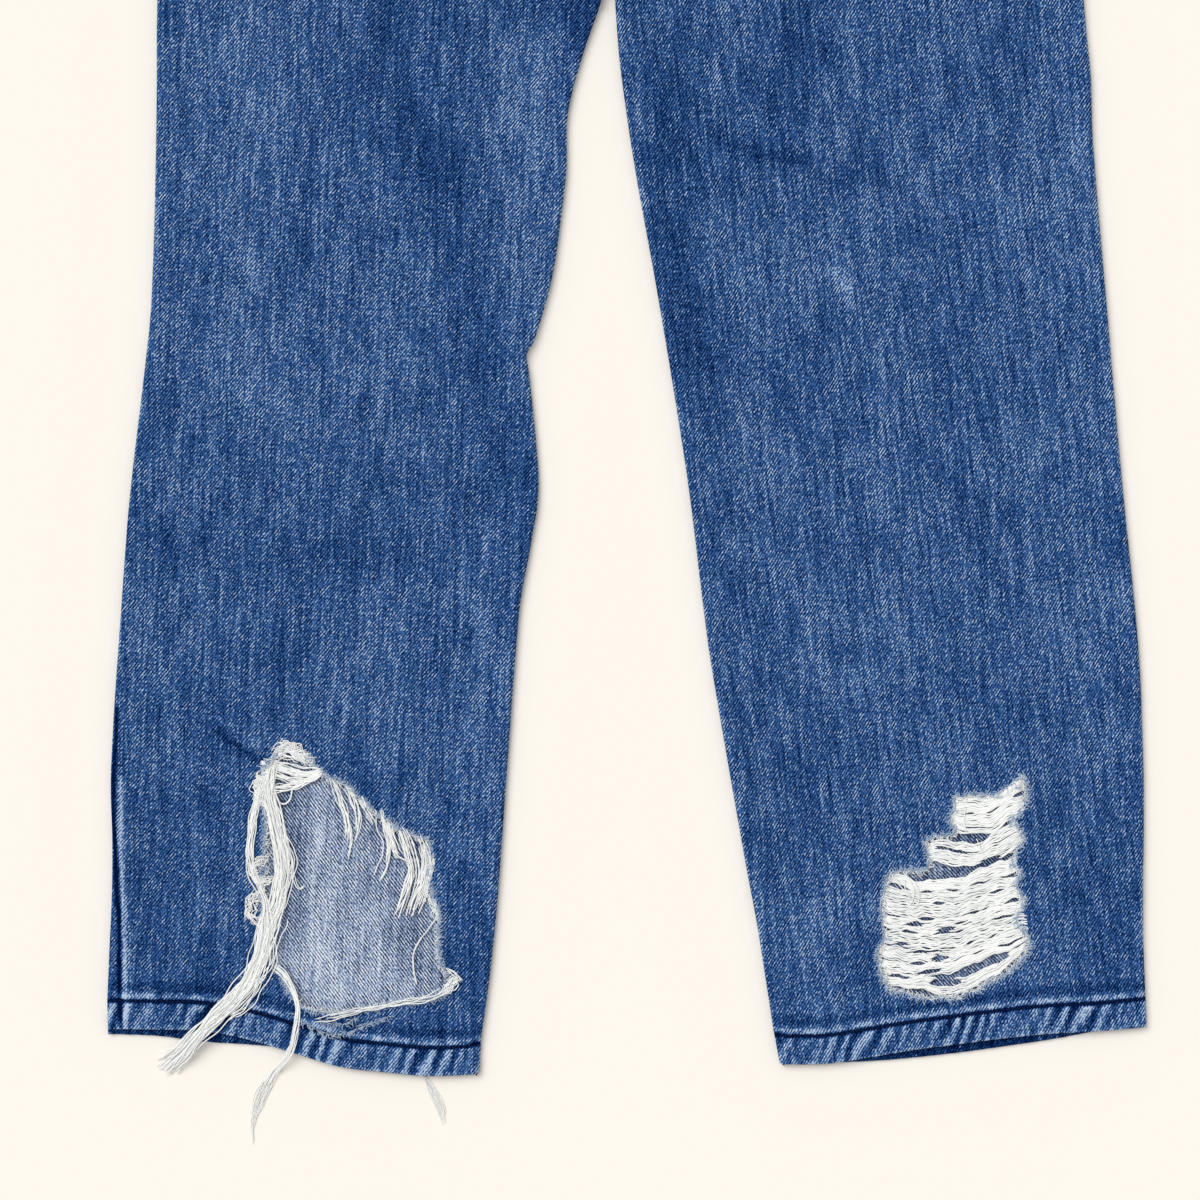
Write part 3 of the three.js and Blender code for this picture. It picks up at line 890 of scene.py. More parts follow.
@dataclass(frozen=True)
class DenimFinish:
    """Washed twill: diagonal floats, slubs along the warp, a mottled fade and worn ridges, with the painted
    shade and highlight that the corners carry.

    Attributes:
        name: The finish's name.
        colours: Colours from the darkest dye to bare cotton.
        lean: -1 for lines that rise to the right, 1 for the mirror image on the wrong side.
        twill_across: The repeat of the diagonal lines across the grain, in metres.
        twill_along: Their repeat along the grain, in metres.
        line_strength: How strongly the diagonals show.
        slub_strength: How strongly the warp's streaks show.
        grain_strength: How strongly the diagonals break up.
        float_strength: How strongly single floats show.
        mottle_strength: How strongly the fade is mottled.
        wash_strength: How far the worn places and the painted shade and highlight shift the colour.
    """

    name: str
    colours: tuple[tuple[float, Colour], ...]
    lean: float = -1.0
    twill_across: float = 0.0019
    twill_along: float = 0.0025
    line_strength: float = 0.25
    slub_strength: float = 0.46
    grain_strength: float = 0.5
    float_strength: float = 0.95
    mottle_strength: float = 0.3
    wash_strength: float = 0.5

    def material(self) -> Material:
        """Builds the material.

        Returns:
            The finished material.
        """
        shader = Shader(self.name)
        place = shader.cloth_place()
        split = shader.tree.nodes.new("ShaderNodeSeparateXYZ")
        shader.tree.links.new(place, split.inputs[0])
        across = shader.math("DIVIDE", split.outputs[0], self.twill_across)
        along = shader.math("DIVIDE", split.outputs[1], self.twill_along * self.lean)
        waver = shader.speckle(place, 0.007, 0.016, 0.45, detail=0.0)
        phase = shader.total(across, along, waver)
        line = shader.math("SINE", shader.math("MULTIPLY", phase, 2.0 * math.pi))
        on_line = shader.combined(phase, split.outputs[1])
        grain = shader.speckle(on_line, 0.8, 0.003, self.grain_strength, detail=0.0, shift=3.1)
        dashes = shader.math("ADD", shader.speckle(place, 0.0022, 0.0032, 2.2, detail=0.0, shift=11.3), 1.0)
        value = shader.total(
            0.5,
            shader.math("MULTIPLY", shader.math("MULTIPLY", line, dashes), self.line_strength),
            grain,
            shader.speckle(place, 0.0010, 0.0013, self.float_strength, detail=0.0, shift=53.0),
            shader.speckle(place, 0.0013, 0.026, self.slub_strength, detail=0.0, shift=7.7),
            shader.speckle(place, 0.0030, 0.060, self.slub_strength * 0.45, detail=1.0, shift=17.3),
            shader.speckle(place, 0.012, 0.022, self.mottle_strength, detail=3.0, shift=29.0),
            shader.speckle(place, 0.055, 0.085, self.mottle_strength * 0.9, shift=41.0),
            shader.math("MULTIPLY", shader.wash(), self.wash_strength),
        )
        shown = shader.within(value)
        shader.colour(shown, self.colours)
        shader.set(Roughness=1.0, Specular_IOR_Level=0.0)
        shader.bump(shown, 0.0003, 0.5)
        return shader.material


OUTSIDE_COLOURS = (
    (0.0, paint(3, 16, 48)),
    (0.25, paint(12, 42, 90)),
    (0.5, paint(38, 74, 127)),
    (0.75, paint(72, 109, 161)),
    (1.0, paint(176, 195, 217)),
)
INSIDE_COLOURS = (
    (0.0, paint(30, 42, 68)),
    (0.25, paint(88, 104, 136)),
    (0.5, paint(134, 151, 181)),
    (0.75, paint(180, 193, 214)),
    (1.0, paint(228, 232, 236)),
)


@dataclass(frozen=True)
class ThreadFinish:
    """Spun cotton thread with a slight twist.

    Attributes:
        name: The finish's name.
        dark: Its shaded colour.
        light: Its full colour.
        twist: The length of one turn of the twist, in metres.
    """

    name: str
    dark: Colour
    light: Colour
    twist: float = 0.0012

    def material(self) -> Material:
        """Builds the material.

        Returns:
            The finished material.
        """
        shader = Shader(self.name)
        place = shader.cloth_place()
        value = shader.total(
            0.6,
            shader.speckle(place, 0.0008, self.twist, 0.4, shift=5.0),
            shader.speckle(place, 0.01, 0.02, 0.5, shift=13.0),
            shader.wash(),
        )
        shown = shader.within(value)
        shader.colour(shown, ((0.0, self.dark), (1.0, self.light)))
        shader.set(Roughness=0.9, Specular_IOR_Level=0.1)
        shader.bump(shown, 0.0002, 0.2)
        return shader.material


@dataclass(frozen=True)
class MetalFinish:
    """Dull cast or brushed metal.

    Attributes:
        name: The finish's name.
        colour: The metal's colour.
        roughness: How dull it is.
        shade: How bright its darkest tarnish is, as a share of the colour.
    """

    name: str
    colour: Colour
    roughness: float
    shade: float = 0.35

    def material(self) -> Material:
        """Builds the material.

        Returns:
            The finished material.
        """
        shader = Shader(self.name)
        place = shader.object_place()
        tarnish = shader.total(0.6, shader.speckle(place, 0.002, 0.002, 0.9, detail=4.0))
        shown = shader.within(tarnish)
        red, green, blue, _ = self.colour
        dark = (red * self.shade, green * self.shade, blue * self.shade, 1.0)
        shader.colour(shown, ((0.0, dark), (1.0, self.colour)))
        shader.set(Metallic=1.0, Roughness=self.roughness)
        shader.bump(shown, 0.0001, 0.3)
        return shader.material


@dataclass
class Wardrobe:
    """Every finish on the jeans, made once.

    Attributes:
        outside: The denim's right side.
        inside: The denim's paler wrong side.
        thread: Bare white cotton thread.
        blue_fluff: Fluff of dyed cotton.
        stitch: Dark stitching thread.
        button: The button's metal.
        zip_metal: The zip teeth's metal.
    """

    outside: Material = field(init=False)
    inside: Material = field(init=False)
    thread: Material = field(init=False)
    blue_fluff: Material = field(init=False)
    stitch: Material = field(init=False)
    button: Material = field(init=False)
    zip_metal: Material = field(init=False)

    def __post_init__(self) -> None:
        """Makes the materials."""
        self.outside = DenimFinish("denim_outside", OUTSIDE_COLOURS).material()
        self.inside = DenimFinish(
            "denim_inside",
            INSIDE_COLOURS,
            lean=1.0,
            twill_across=0.0020,
            twill_along=0.0026,
            line_strength=0.34,
            slub_strength=0.5,
            grain_strength=0.55,
            mottle_strength=0.5,
        ).material()
        self.thread = ThreadFinish("cotton_thread", paint(228, 231, 233), paint(254, 254, 250)).material()
        self.blue_fluff = ThreadFinish("dyed_fluff", paint(84, 118, 160), paint(206, 220, 236)).material()
        self.stitch = ThreadFinish("navy_stitching", paint(4, 10, 34), paint(22, 34, 74)).material()
        self.button = MetalFinish("button_metal", (0.32, 0.3, 0.27, 1.0), 0.42).material()
        self.zip_metal = MetalFinish("zip_metal", (0.5, 0.42, 0.28, 1.0), 0.4).material()


# Cloth pieces
# ---------------------------------------


@dataclass
class ClothPiece:
    """One cut piece of denim as a closed thin shell on its solid's outline and heights.

    Attributes:
        node: The frame node that it stands for.
        face: Which way its right side lies.
        garment: The garment's own measure.
        stack: The heights of the lying layers.
        grain: The angle from +Y to its warp, in degrees, positive where the warp leans towards -X.
        step: How far apart its corners lie in plan, in metres.
        fine_step: The same where it has fine shape.
        fine_reach: How far round its holes and fine lines the fine step holds, in metres.
        fine_lines: Lines in millimetres on the garment that need the fine step around them.
        marks: Its folds and worn places, with painted shade in darkened troughs and painted highlight on
            paler ridges.
        rests_on: What it lies on.
        base: A fixed height for the right side, for a piece that lies under the seat.
        outline: Its outer edge in plan, with close points.
        holes: The edges of its holes in plan.
        edges: The stretches of its outline, by kind.
        RINGS: How deep inside a folded edge its rows of corners lie.
        HEM_RINGS: How deep inside a hem's fold they lie.
        FRAY: The step along a torn edge, the reach of its slow and of its quick raggedness, and its limit.
        FRAY_SEED: The seed of its chance.
        SHARP: The bend that counts as a corner, in degrees.
        HEM_ZONE: How far up the legs an edge still counts as hem.
        ROLL_SHARE: How near the seam's height a folded edge lies, as a share of the climb to the right side.
        ROLL_STEP: The step of the corners along a folded edge.
        HEM_CORNERS: Their step along a hem.
        CLEAR: How near its outline a free corner may lie.
        ON_EDGE: How near a hole's edge counts as on it.
        ROPE_PITCH: From one ripple of a hem to the next.
        ROPE_SLANT: How far the ripples lean, as a share of their depth.
        ROPE_HEIGHT: How high they stand.
    """

    node: str
    face: Face
    garment: Garment
    stack: Stack
    grain: float = 0.0
    step: float = 0.0045
    fine_step: float = 0.0014
    fine_reach: float = 0.005
    fine_lines: tuple[Route, ...] = ()
    marks: tuple[Mark, ...] = ()
    rests_on: tuple[str, ...] = ("floor",)
    base: float | None = None
    outline: Points = field(init=False)
    holes: list[Points] = field(init=False)
    edges: dict[EdgeKind, list[Points]] = field(init=False)

    FRAY = (0.0011, 0.0006, 0.00025, 0.0012)
    FRAY_SEED = 11
    SHARP = 38
    HEM_ZONE = 0.045
    ROLL_SHARE = 0.55
    ROLL_STEP = 0.0025
    HEM_CORNERS = 0.0013
    CLEAR = 0.00028
    ON_EDGE = 0.0002
    ROPE_PITCH = 0.0098
    ROPE_SLANT = 0.42
    ROPE_HEIGHT = 0.0006
    RINGS = (0.00035, 0.001, 0.0019, 0.0031, 0.0046)
    HEM_RINGS = (
        0.0004, 0.0009, 0.0016, 0.0026, 0.004, 0.0055, 0.007, 0.0085, 0.01, 0.0115, 0.013, 0.0143,
        0.0153, 0.016, 0.0166, 0.0172, 0.0178, 0.0186, 0.0196, 0.0208, 0.0225, 0.025,
    )

    def __post_init__(self) -> None:
        """Reads the piece's outline from its node and sorts it into folds, hem and seams."""
        loops = skin_loops(self.node, self.face)
        self.outline, kinds = self.smoothed(loops[0][:, :2], self.edge_kinds(loops[0]))
        self.edges = {kind: self.stretches(self.outline, kinds, kind) for kind in EdgeKind}
        self.holes = [self.frayed(loop[:, :2]) for loop in loops[1:]]

    def level(self, length: Points) -> Points:
        """The height of the right side beside the piece's edges."""
        return self.stack.edge_top(length) if self.face is Face.UP else self.stack.lift(length)

    def edge_kinds(self, loop: Points) -> Points:
        """Says for each stretch of the outline what it is.

        Args:
            loop: The outline's corners as the solid has them.

        Returns:
            The kind of the stretch that starts at each corner.
        """
        length = self.garment.length_at(loop[:, 1])
        seam = self.stack.seam_height(length)
        rolled = np.abs(loop[:, 2] - seam) < self.ROLL_SHARE * np.abs(self.level(length) - seam)
        both = rolled & np.roll(rolled, -1)
        low = (length < self.HEM_ZONE) & (np.roll(length, -1) < self.HEM_ZONE)
        return np.where(both, EdgeKind.ROLL, np.where(low, EdgeKind.HEM, EdgeKind.SEAM))

    @staticmethod
    def stretches(loop: Points, kinds: Points, kind: EdgeKind) -> list[Points]:
        """Cuts the outline into the polylines that are of one kind.

        Args:
            loop: The outline's corners.
            kinds: The kind of the stretch that starts at each corner.
            kind: The kind wanted.

        Returns:
            The polylines in plan.
        """
        match = kinds == kind
        if match.all():
            return [closed(loop)[:, :2]]
        found = []
        for start in np.flatnonzero(match & ~np.roll(match, 1)):
            line = [loop[start]]
            place = start
            while match[place]:
                place = (place + 1) % len(loop)
                line.append(loop[place])
            found.append(np.array(line)[:, :2])
        return found

    def smoothed(self, loop: Points, kinds: Points) -> tuple[Points, Points]:
        """Rounds an outline between its sharp corners.

        Args:
            loop: The outline's corners in plan.
            kinds: The kind of the stretch that starts at each corner.

        Returns:
            The outline with close points, and the kind of the stretch that starts at each.
        """
        before = loop - np.roll(loop, 1, axis=0)
        after = np.roll(loop, -1, axis=0) - loop
        turn = before[:, 0] * after[:, 1] - before[:, 1] * after[:, 0]
        bend = np.abs(np.arctan2(turn, (before * after).sum(1)))
        changes = np.flatnonzero(kinds != np.roll(kinds, 1))
        sharp = sorted({*changes.tolist(), *np.flatnonzero(bend > math.radians(self.SHARP)).tolist()})
        pieces, found = [], []
        for start, end in zip(sharp, [*sharp[1:], sharp[0] + len(loop)]):
            stops = loop[np.arange(start, end + 1) % len(loop)]
            fine = curve_through(stops, self.fine_step) if len(stops) > 2 else stops
            pieces.append(resampled(fine, self.fine_step)[:-1])
            found += [kinds[start % len(loop)]] * len(pieces[-1])
        return np.vstack(pieces), np.array(found)

    def frayed(self, loop: Points) -> Points:
        """Roughens the edge of a hole, which breaks thread by thread.

        Args:
            loop: The hole's corners in plan.

        Returns:
            The ragged edge, with close points.
        """
        step, slow_reach, quick_reach, limit = self.FRAY
        fine = resampled(closed(loop), step)[:-1]
        around = np.vstack([fine[-1:], fine, fine[:1]])
        outwards = -(offset_line(around, 1.0) - around)[1:-1]
        rng = np.random.default_rng(self.FRAY_SEED)
        every = 5
        knots = np.arange(0, len(fine) + every, every)
        swings = rng.normal(0, slow_reach, len(fine) // every + 2)[: len(knots)]
        slow = np.interp(np.arange(len(fine)), knots, swings)
        quick = rng.normal(0, quick_reach, len(fine))
        return fine + outwards * np.clip(slow + quick, -limit, limit)[:, None]

    def in_cloth(self, points: Points) -> Points:
        """Says which plan points lie on the cloth.

        Args:
            points: The plan points.

        Returns:
            True for each point on it.
        """
        found = inside_polygon(points, self.outline)
        for hole in self.holes:
            found &= ~inside_polygon(points, hole)
        return found

    def plan_mesh(self) -> tuple[Points, Points]:
        """Spreads points over the cloth and joins them.

        Returns:
            The plan points and the triangles.
        """
        loops = [self.outline, *self.holes]
        rings = []
        for line in self.edges[EdgeKind.ROLL]:
            fine = resampled(line, self.ROLL_STEP)
            rings += [offset_line(fine, depth) for depth in self.RINGS]
        coarse = hex_grid(self.outline.min(0), self.outline.max(0), self.step)
        lines = [curve_through(self.garment.place(line), ROUTE_STEP) for line in self.fine_lines]
        lines += [closed(hole) for hole in self.holes]
        for line in self.edges[EdgeKind.HEM]:
            fine = resampled(curve_through(line, HEM_STEP), self.HEM_CORNERS)
            rings += [offset_line(fine, depth) for depth in self.HEM_RINGS]
            coarse = coarse[nearest_on_lines(coarse, [line])[0] > self.HEM_RINGS[-1] + 0.001]
        for line in lines:
            coarse = coarse[nearest_on_lines(coarse, [line])[0] > self.fine_reach]
            fine = hex_grid(line.min(0) - self.fine_reach, line.max(0) + self.fine_reach, self.fine_step)
            fine = fine[nearest_on_lines(fine, [line])[0] < self.fine_reach]
            rings.append(fine[self.away_from_hem(fine)])
        spread = np.vstack([*rings, coarse])
        spread = spread[self.in_cloth(spread)]
        boundary = [closed(loop) for loop in loops]
        spread = spread[nearest_on_lines(spread, boundary)[0] > self.CLEAR]
        points = np.vstack([*loops, spread])
        starts = np.cumsum([0] + [len(loop) for loop in loops[:-1]])
        return triangulated(points, loops, starts)

    def away_from_hem(self, points: Points) -> Points:
        """Says which plan points lie outside the hem's own rows of corners.

        Args:
            points: The plan points.

        Returns:
            True for each point outside them.
        """
        if not self.edges[EdgeKind.HEM]:
            return np.full(len(points), True)
        return nearest_on_lines(points, self.edges[EdgeKind.HEM])[0] > self.HEM_RINGS[-1]

    def thickness(self, hem_distance: Points) -> Points:
        """The cloth's thickness, which is three layers along a hem."""
        rise = 1.0 - smoothstep(hem_distance, self.stack.hem_depth - 0.0006, self.stack.hem_depth + 0.0006)
        return self.stack.cloth + (self.stack.hem_cloth - self.stack.cloth) * rise

    def hem_distance(self, points: Points) -> Points:
        """How far each plan point is from the hem's bottom fold."""
        lines = self.edges[EdgeKind.HEM]
        return nearest_on_lines(points, lines)[0] if lines else np.full(len(points), 1.0)

    def outer_level(self, points: Points) -> Points:
        """Works out the height of the right side before its edges turn, with its folds.

        Args:
            points: The plan points.

        Returns:
            The height at each point.
        """
        length = self.garment.length_at(points[:, 1])
        if self.base is not None:
            return np.full(len(points), self.base)
        if self.face is Face.DOWN:
            return self.stack.lift(length)
        crown = fade(np.maximum(self.hem_distance(points) - self.stack.hem_depth, 0.0), self.stack.hem_fade)
        if not self.edges[EdgeKind.HEM]:
            crown = np.zeros(len(points))
        if self.edges[EdgeKind.ROLL]:
            rolled = nearest_on_lines(points, self.edges[EdgeKind.ROLL])[0]
            crown = np.maximum(crown, fade(rolled, self.stack.edge_fade))
        middle = self.stack.middle_top(length)
        flat = middle + (self.stack.edge_top(length) - middle) * crown
        raised = [mark for mark in self.marks if mark.height]
        lifts = sum(mark.height * MM * mark.strength(points, self.garment) for mark in raised)
        return flat + lifts * (1.0 - 0.7 * crown)

    def relief(self, points: Points, hem_distance: Points) -> Points:
        """Works out the right side's fine shape: the hem's ropes and the dip along its stitching.

        Args:
            points: The plan points.
            hem_distance: How far each is from the hem's fold.

        Returns:
            How far the cloth stands out at each point.
        """
        if not self.edges[EdgeKind.HEM]:
            return np.zeros(len(points))
        depth = self.stack.hem_depth
        in_hem = 1.0 - smoothstep(hem_distance, depth - 0.002, depth)
        stitch = fade(hem_distance - depth, 0.0011)
        above = fade(hem_distance - depth - 0.0032, 0.0026)
        ropes = in_hem * self.rope(points, hem_distance) * self.ROPE_HEIGHT
        return ropes - stitch * 0.0007 + above * 0.0004

    def rope(self, points: Points, hem_distance: Points) -> Points:
        """Works out the slanting ripples that twist a hem.

        Args:
            points: The plan points.
            hem_distance: How far each is from the hem's fold.

        Returns:
            From -1 in a hollow to 1 on a ridge.
        """
        x = points[:, 0]
        slant = x - self.ROPE_SLANT * self.face.value * hem_distance
        wander = 0.0026 * np.sin(x * 61.0) + 0.0019 * np.sin(x * 143.0 + 1.3) + 0.0008 * np.sin(x * 380.0)
        wave = np.sin(2.0 * np.pi * (slant + wander) / self.ROPE_PITCH)
        swell = 0.6 + 0.4 * np.sin(x * 97.0 + 0.7)
        across = np.clip(hem_distance / self.stack.hem_depth, 0.0, 1.0)
        return np.sign(wave) * np.abs(wave) ** 0.75 * swell * (0.45 + 0.55 * across)

    def wash(self, points: Points, hem_distance: Points) -> Points:
        """Works out how pale the cloth is: its marks, the hem's ridges and the rubbed folds, with painted
        shade in the marked troughs and under the tear, and a painted shadow along the hem's stitching.

        Args:
            points: The plan points.
            hem_distance: How far each is from the hem's fold.

        Returns:
            The wash at each point.
        """
        pale = np.zeros(len(points))
        for mark in self.marks:
            if mark.wash:
                pale += mark.wash * mark.strength(points, self.garment)
        if self.edges[EdgeKind.HEM]:
            pale += self.hem_wash(points, hem_distance)
        if self.edges[EdgeKind.ROLL]:
            pale += 0.3 * fade(nearest_on_lines(points, self.edges[EdgeKind.ROLL])[0], 0.0012)
        for hole in self.holes:
            pale += fade(nearest_on_lines(points, [closed(hole)])[0], 0.0017)
        return pale

    def hem_wash(self, points: Points, hem_distance: Points) -> Points:
        """Works out the rubbed ridges of a hem between its dark hollows, with a painted shadow along its
        stitching.

        Args:
            points: The plan points.
            hem_distance: How far each is from the hem's fold.

        Returns:
            The wash at each point.
        """
        depth = self.stack.hem_depth
        x = points[:, 0]
        broken = 0.62 + 0.25 * np.sin(x * 410.0) + 0.2 * np.sin(x * 173.0 + 2.0) + 0.12 * np.sin(x * 701.0)
        in_hem = 1.0 - smoothstep(hem_distance, depth - 0.002, depth)
        pale = in_hem * (1.1 * self.rope(points, hem_distance) + 0.1)
        pale += 0.7 * broken * fade(hem_distance, 0.0016)
        pale += 0.95 * broken * fade(hem_distance - depth - 0.0030, 0.0018)
        pale -= 0.45 * fade(hem_distance - depth - 0.0085, 0.003)
        # A dark line along the stitching: painted shadow in its groove.
        return pale - 2.0 * fade(hem_distance - depth, 0.0010)

    def surfaces(self, points: Points) -> tuple[Points, Points, Points]:
        """Works out the right side and the wrong side over plan points.

        Args:
            points: The plan points.

        Returns:
            The right side's places, the wrong side's places and the wash.
        """
        length = self.garment.length_at(points[:, 1])
        hem_distance = self.hem_distance(points)
        level = self.outer_level(points) + self.face.value * self.relief(points, hem_distance)
        thick = self.thickness(hem_distance)
        seam = self.stack.seam_height(length) + self.face.value * self.stack.seam_gap / 2.0
        across = np.zeros(len(points))
        inwards = np.zeros((len(points), 2))
        if self.edges[EdgeKind.ROLL]:
            gap, foot = nearest_on_lines(points, self.edges[EdgeKind.ROLL])
            across = np.clip(1.0 - gap / self.stack.roll_radius, 0.0, 1.0)
            away = points - foot
            size = np.linalg.norm(away, axis=1)
            inwards = np.where(size[:, None] > 1e-6, away / np.maximum(size, 1e-9)[:, None], 0.0)
            edge = size <= 1e-6
            if edge.any():
                inwards[edge] = self.edge_normals(points[edge])
        climb = np.sqrt(np.maximum(1.0 - across**2, 0.0))
        outer_z = seam + (level - seam) * climb
        inner_z = seam + (level - self.face.value * thick - seam) * climb
        fold = np.clip(1.0 - hem_distance / 0.0012, 0.0, 1.0)
        tuck = 0.0011 * (1.0 - np.sqrt(np.maximum(1.0 - fold**2, 0.0)))
        outer_z = outer_z - self.face.value * tuck
        inner_z = inner_z + self.face.value * tuck
        inner_plan = points + inwards * (thick * across)[:, None]
        outer = np.column_stack([points, np.maximum(outer_z, 0.0)])
        inner = np.column_stack([inner_plan, np.maximum(inner_z, 0.0)])
        return outer, inner, self.wash(points, hem_distance)

    def edge_normals(self, points: Points) -> Points:
        """Finds the inward direction at points on the folded edges.

        Args:
            points: The plan points.

        Returns:
            A direction of length 1 at each point.
        """
        lines = [resampled(line, self.ROLL_STEP) for line in self.edges[EdgeKind.ROLL]]
        inner = [offset_line(line, 0.001) for line in lines]
        starts, ends = np.vstack(lines), np.vstack(inner)
        nearest = ((points[:, None] - starts[None]) ** 2).sum(2).argmin(1)
        direction = ends[nearest] - starts[nearest]
        return direction / np.linalg.norm(direction, axis=1)[:, None]

    def cloth_coordinates(self, points: Points) -> Points:
        """Turns plan points to the cloth's own grain.

        Args:
            points: The plan points.

        Returns:
            Places across and along the grain, in metres.
        """
        turn = math.radians(self.grain)
        x, y = points[:, 0], points[:, 1]
        across = x * math.cos(turn) + y * math.sin(turn)
        along = y * math.cos(turn) - x * math.sin(turn)
        return np.stack([across, along], axis=1)

    def build(self, wardrobe: Wardrobe) -> Piece:
        """Args:
            wardrobe: The finishes.

        Returns:
            The finished piece.
        """
        points, triangles = self.plan_mesh()
        outer, inner, wash = self.surfaces(points)
        uv = self.cloth_coordinates(points)
        if self.face is Face.DOWN:
            triangles = triangles[:, ::-1]
        parts = MeshParts()
        count = len(points)
        parts.add(outer, triangles, uv, 0, wash)
        turned_up = self.hem_distance(points[triangles].mean(1)) < self.stack.hem_depth
        shown = 0.3 if self.face is Face.UP else 0.5
        # Within the hem the wrong side is darkened: painted shade on a back panel's turned-up hem, where it
        # shows below the front's hem.
        shade = 0.7 * (self.hem_distance(points) < self.stack.hem_depth)
        parts.add(inner, triangles[:, ::-1], uv, np.where(turned_up, 0, 1), wash * shown - shade)
        rim = boundary_edges(triangles)
        quads = np.column_stack([rim[:, 1], rim[:, 0], rim[:, 0] + count, rim[:, 1] + count])
        parts.add_faces(quads, self.rim_finish(points, rim))
        piece = parts.build(f"{self.node}_cloth", [wardrobe.outside, wardrobe.inside, wardrobe.thread])
        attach(piece, "root")
        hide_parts(self.node)
        report(piece)
        return piece

    def rim_finish(self, points: Points, rim: Points) -> Points:
        """Picks bare cotton where the cloth is torn, and dyed cloth along its sewn edges.

        Args:
            points: The plan points.
            rim: The edges round the cloth, as indices.

        Returns:
            The finish of each edge.
        """
        finish = np.zeros(len(rim), np.int32)
        middles = points[rim].mean(1)
        for hole in self.holes:
            gap = nearest_on_lines(middles, [closed(hole)])[0]
            finish[gap < self.ON_EDGE] = 2
        return finish

    def declare(self, piece: Piece, extras: Sequence[Piece]) -> None:
        """Does nothing: no cut of the sheet is stated.

        Args:
            piece: The finished piece. Not used.
            extras: The pieces that go with it, such as its stitching and fringe. Not used.
        """


# Panels
# ---------------------------------------

RIGHT_SEAM_WRAP = (
    (-294.5, 220), (-296.6, 178), (-296.7, 155), (-295.2, 131),
    (-294.6, 109), (-293, 90), (-293, 51), (-291.6, 29),
)
LEFT_SEAM_WRAP = ((319.5, 130), (320, 76))
RIGHT_TEAR_CREASE = ((-236, 209), (-221, 197), (-206, 190))
RIGHT_FRONT_MARKS = (
    Mark(((-96, 640), (-88, 575), (-74, 505), (-62, 455), (-52, 434)), reach=17, height=3.4),
    Mark(((-255, 222), (-226, 200), (-206, 190)), reach=9, height=1.6),
    Mark(((-14, 672), (-80, 704), (-150, 716)), reach=14, height=2.2),
    # The next two troughs are also darkened: painted shade.
    Mark(((-136, 662), (-128, 600), (-117, 553), (-106, 540)), reach=13, height=-1.0, wash=-0.24),
    Mark(
        ((-104, 662), (-98, 600), (-90, 520), (-80, 460), (-66, 400), (-54, 368)),
        reach=16, height=-0.8, wash=-0.16,
    ),
    # The raised lobe is paler: worn, and partly a painted highlight.
    Mark(((-47, 610), (-44, 531), (-50, 453)), reach=17, height=0.8, wash=0.14),
    Mark(((-16, 655), (-11, 616)), reach=14, wash=-0.3),
    # A crease at the tear's tip, darkened in its trough as painted shade, with a painted highlight on the
    # ridge beside it.
    Mark(((-233, 206), (-221, 195), (-209, 189)), reach=3.2, height=-1.5, wash=-0.5),
    Mark(((-229, 211), (-216, 201), (-207, 196)), reach=3.4, height=0.8, wash=0.15),
    # A faint crease and a trough, both darkened as painted shade.
    Mark(((-253, 205), (-240, 190)), reach=5, height=-0.5, wash=-0.2),
    Mark(((-272, 318), (-200, 310), (-128, 309)), reach=14, height=-0.5, wash=-0.1),
    Mark(((-185, 252), (-185, 212)), reach=16, wash=-0.12),
    Mark(((-275, 112), (-262, 90), (-245, 66)), reach=22, wash=-0.18),
    Mark(((-135, 270), (-135, 198)), reach=15, wash=0.14),
    Mark(((-215, 640), (-214, 520), (-222, 420)), reach=38, wash=0.1),
    Mark(((-90, 120), (-84, 60)), reach=12, wash=-0.1),
    Mark(RIGHT_SEAM_WRAP, reach=1.1, height=-0.8, wash=-1.7),
    Mark(
        ((-291.5, 178), (-292.5, 140), (-290.5, 100), (-289.5, 60), (-289, 29)),
        reach=1.7, height=0.6, wash=1.0,
    ),
    Mark(((-300, 88), (-301, 62)), reach=2.6, height=0.8, wash=-0.3),
    # A notch at the edge, darkened as painted shade.
    Mark(((-301, 50), (-296, 46)), reach=1.2, height=-0.6, wash=-0.7),
)
LEFT_FRONT_MARKS = (
    Mark(((34, 590), (70, 556), (120, 548)), reach=15, height=2.2),
    Mark(((40, 470), (62, 420), (72, 360)), reach=14, height=1.6),
    Mark(((18, 672), (86, 704), (158, 716)), reach=14, height=2.2),
    # The next two troughs are also darkened: painted shade.
    Mark(((40, 600), (37, 507), (48, 436)), reach=16, height=-0.6, wash=-0.26),
    Mark(((66, 562), (90, 551), (116, 549)), reach=5, height=-0.8, wash=-0.3),
    Mark(((136, 482), (142, 474)), reach=8, wash=0.3),
    Mark(((117, 186), (117, 140)), reach=20, wash=-0.14),
    Mark(((292, 156), (300, 70)), reach=18, wash=-0.16),
    Mark(((250, 640), (262, 500), (275, 380)), reach=30, wash=0.08),
    Mark(((110, 640), (100, 590)), reach=24, wash=-0.14),
    Mark(((319.5, 125), (320, 80)), reach=1.6, height=0.5, wash=0.5),
    # A small fold at the edge, darkened as painted shade.
    Mark(((315, 55), (321, 52)), reach=1.0, height=-0.5, wash=-0.6),
)
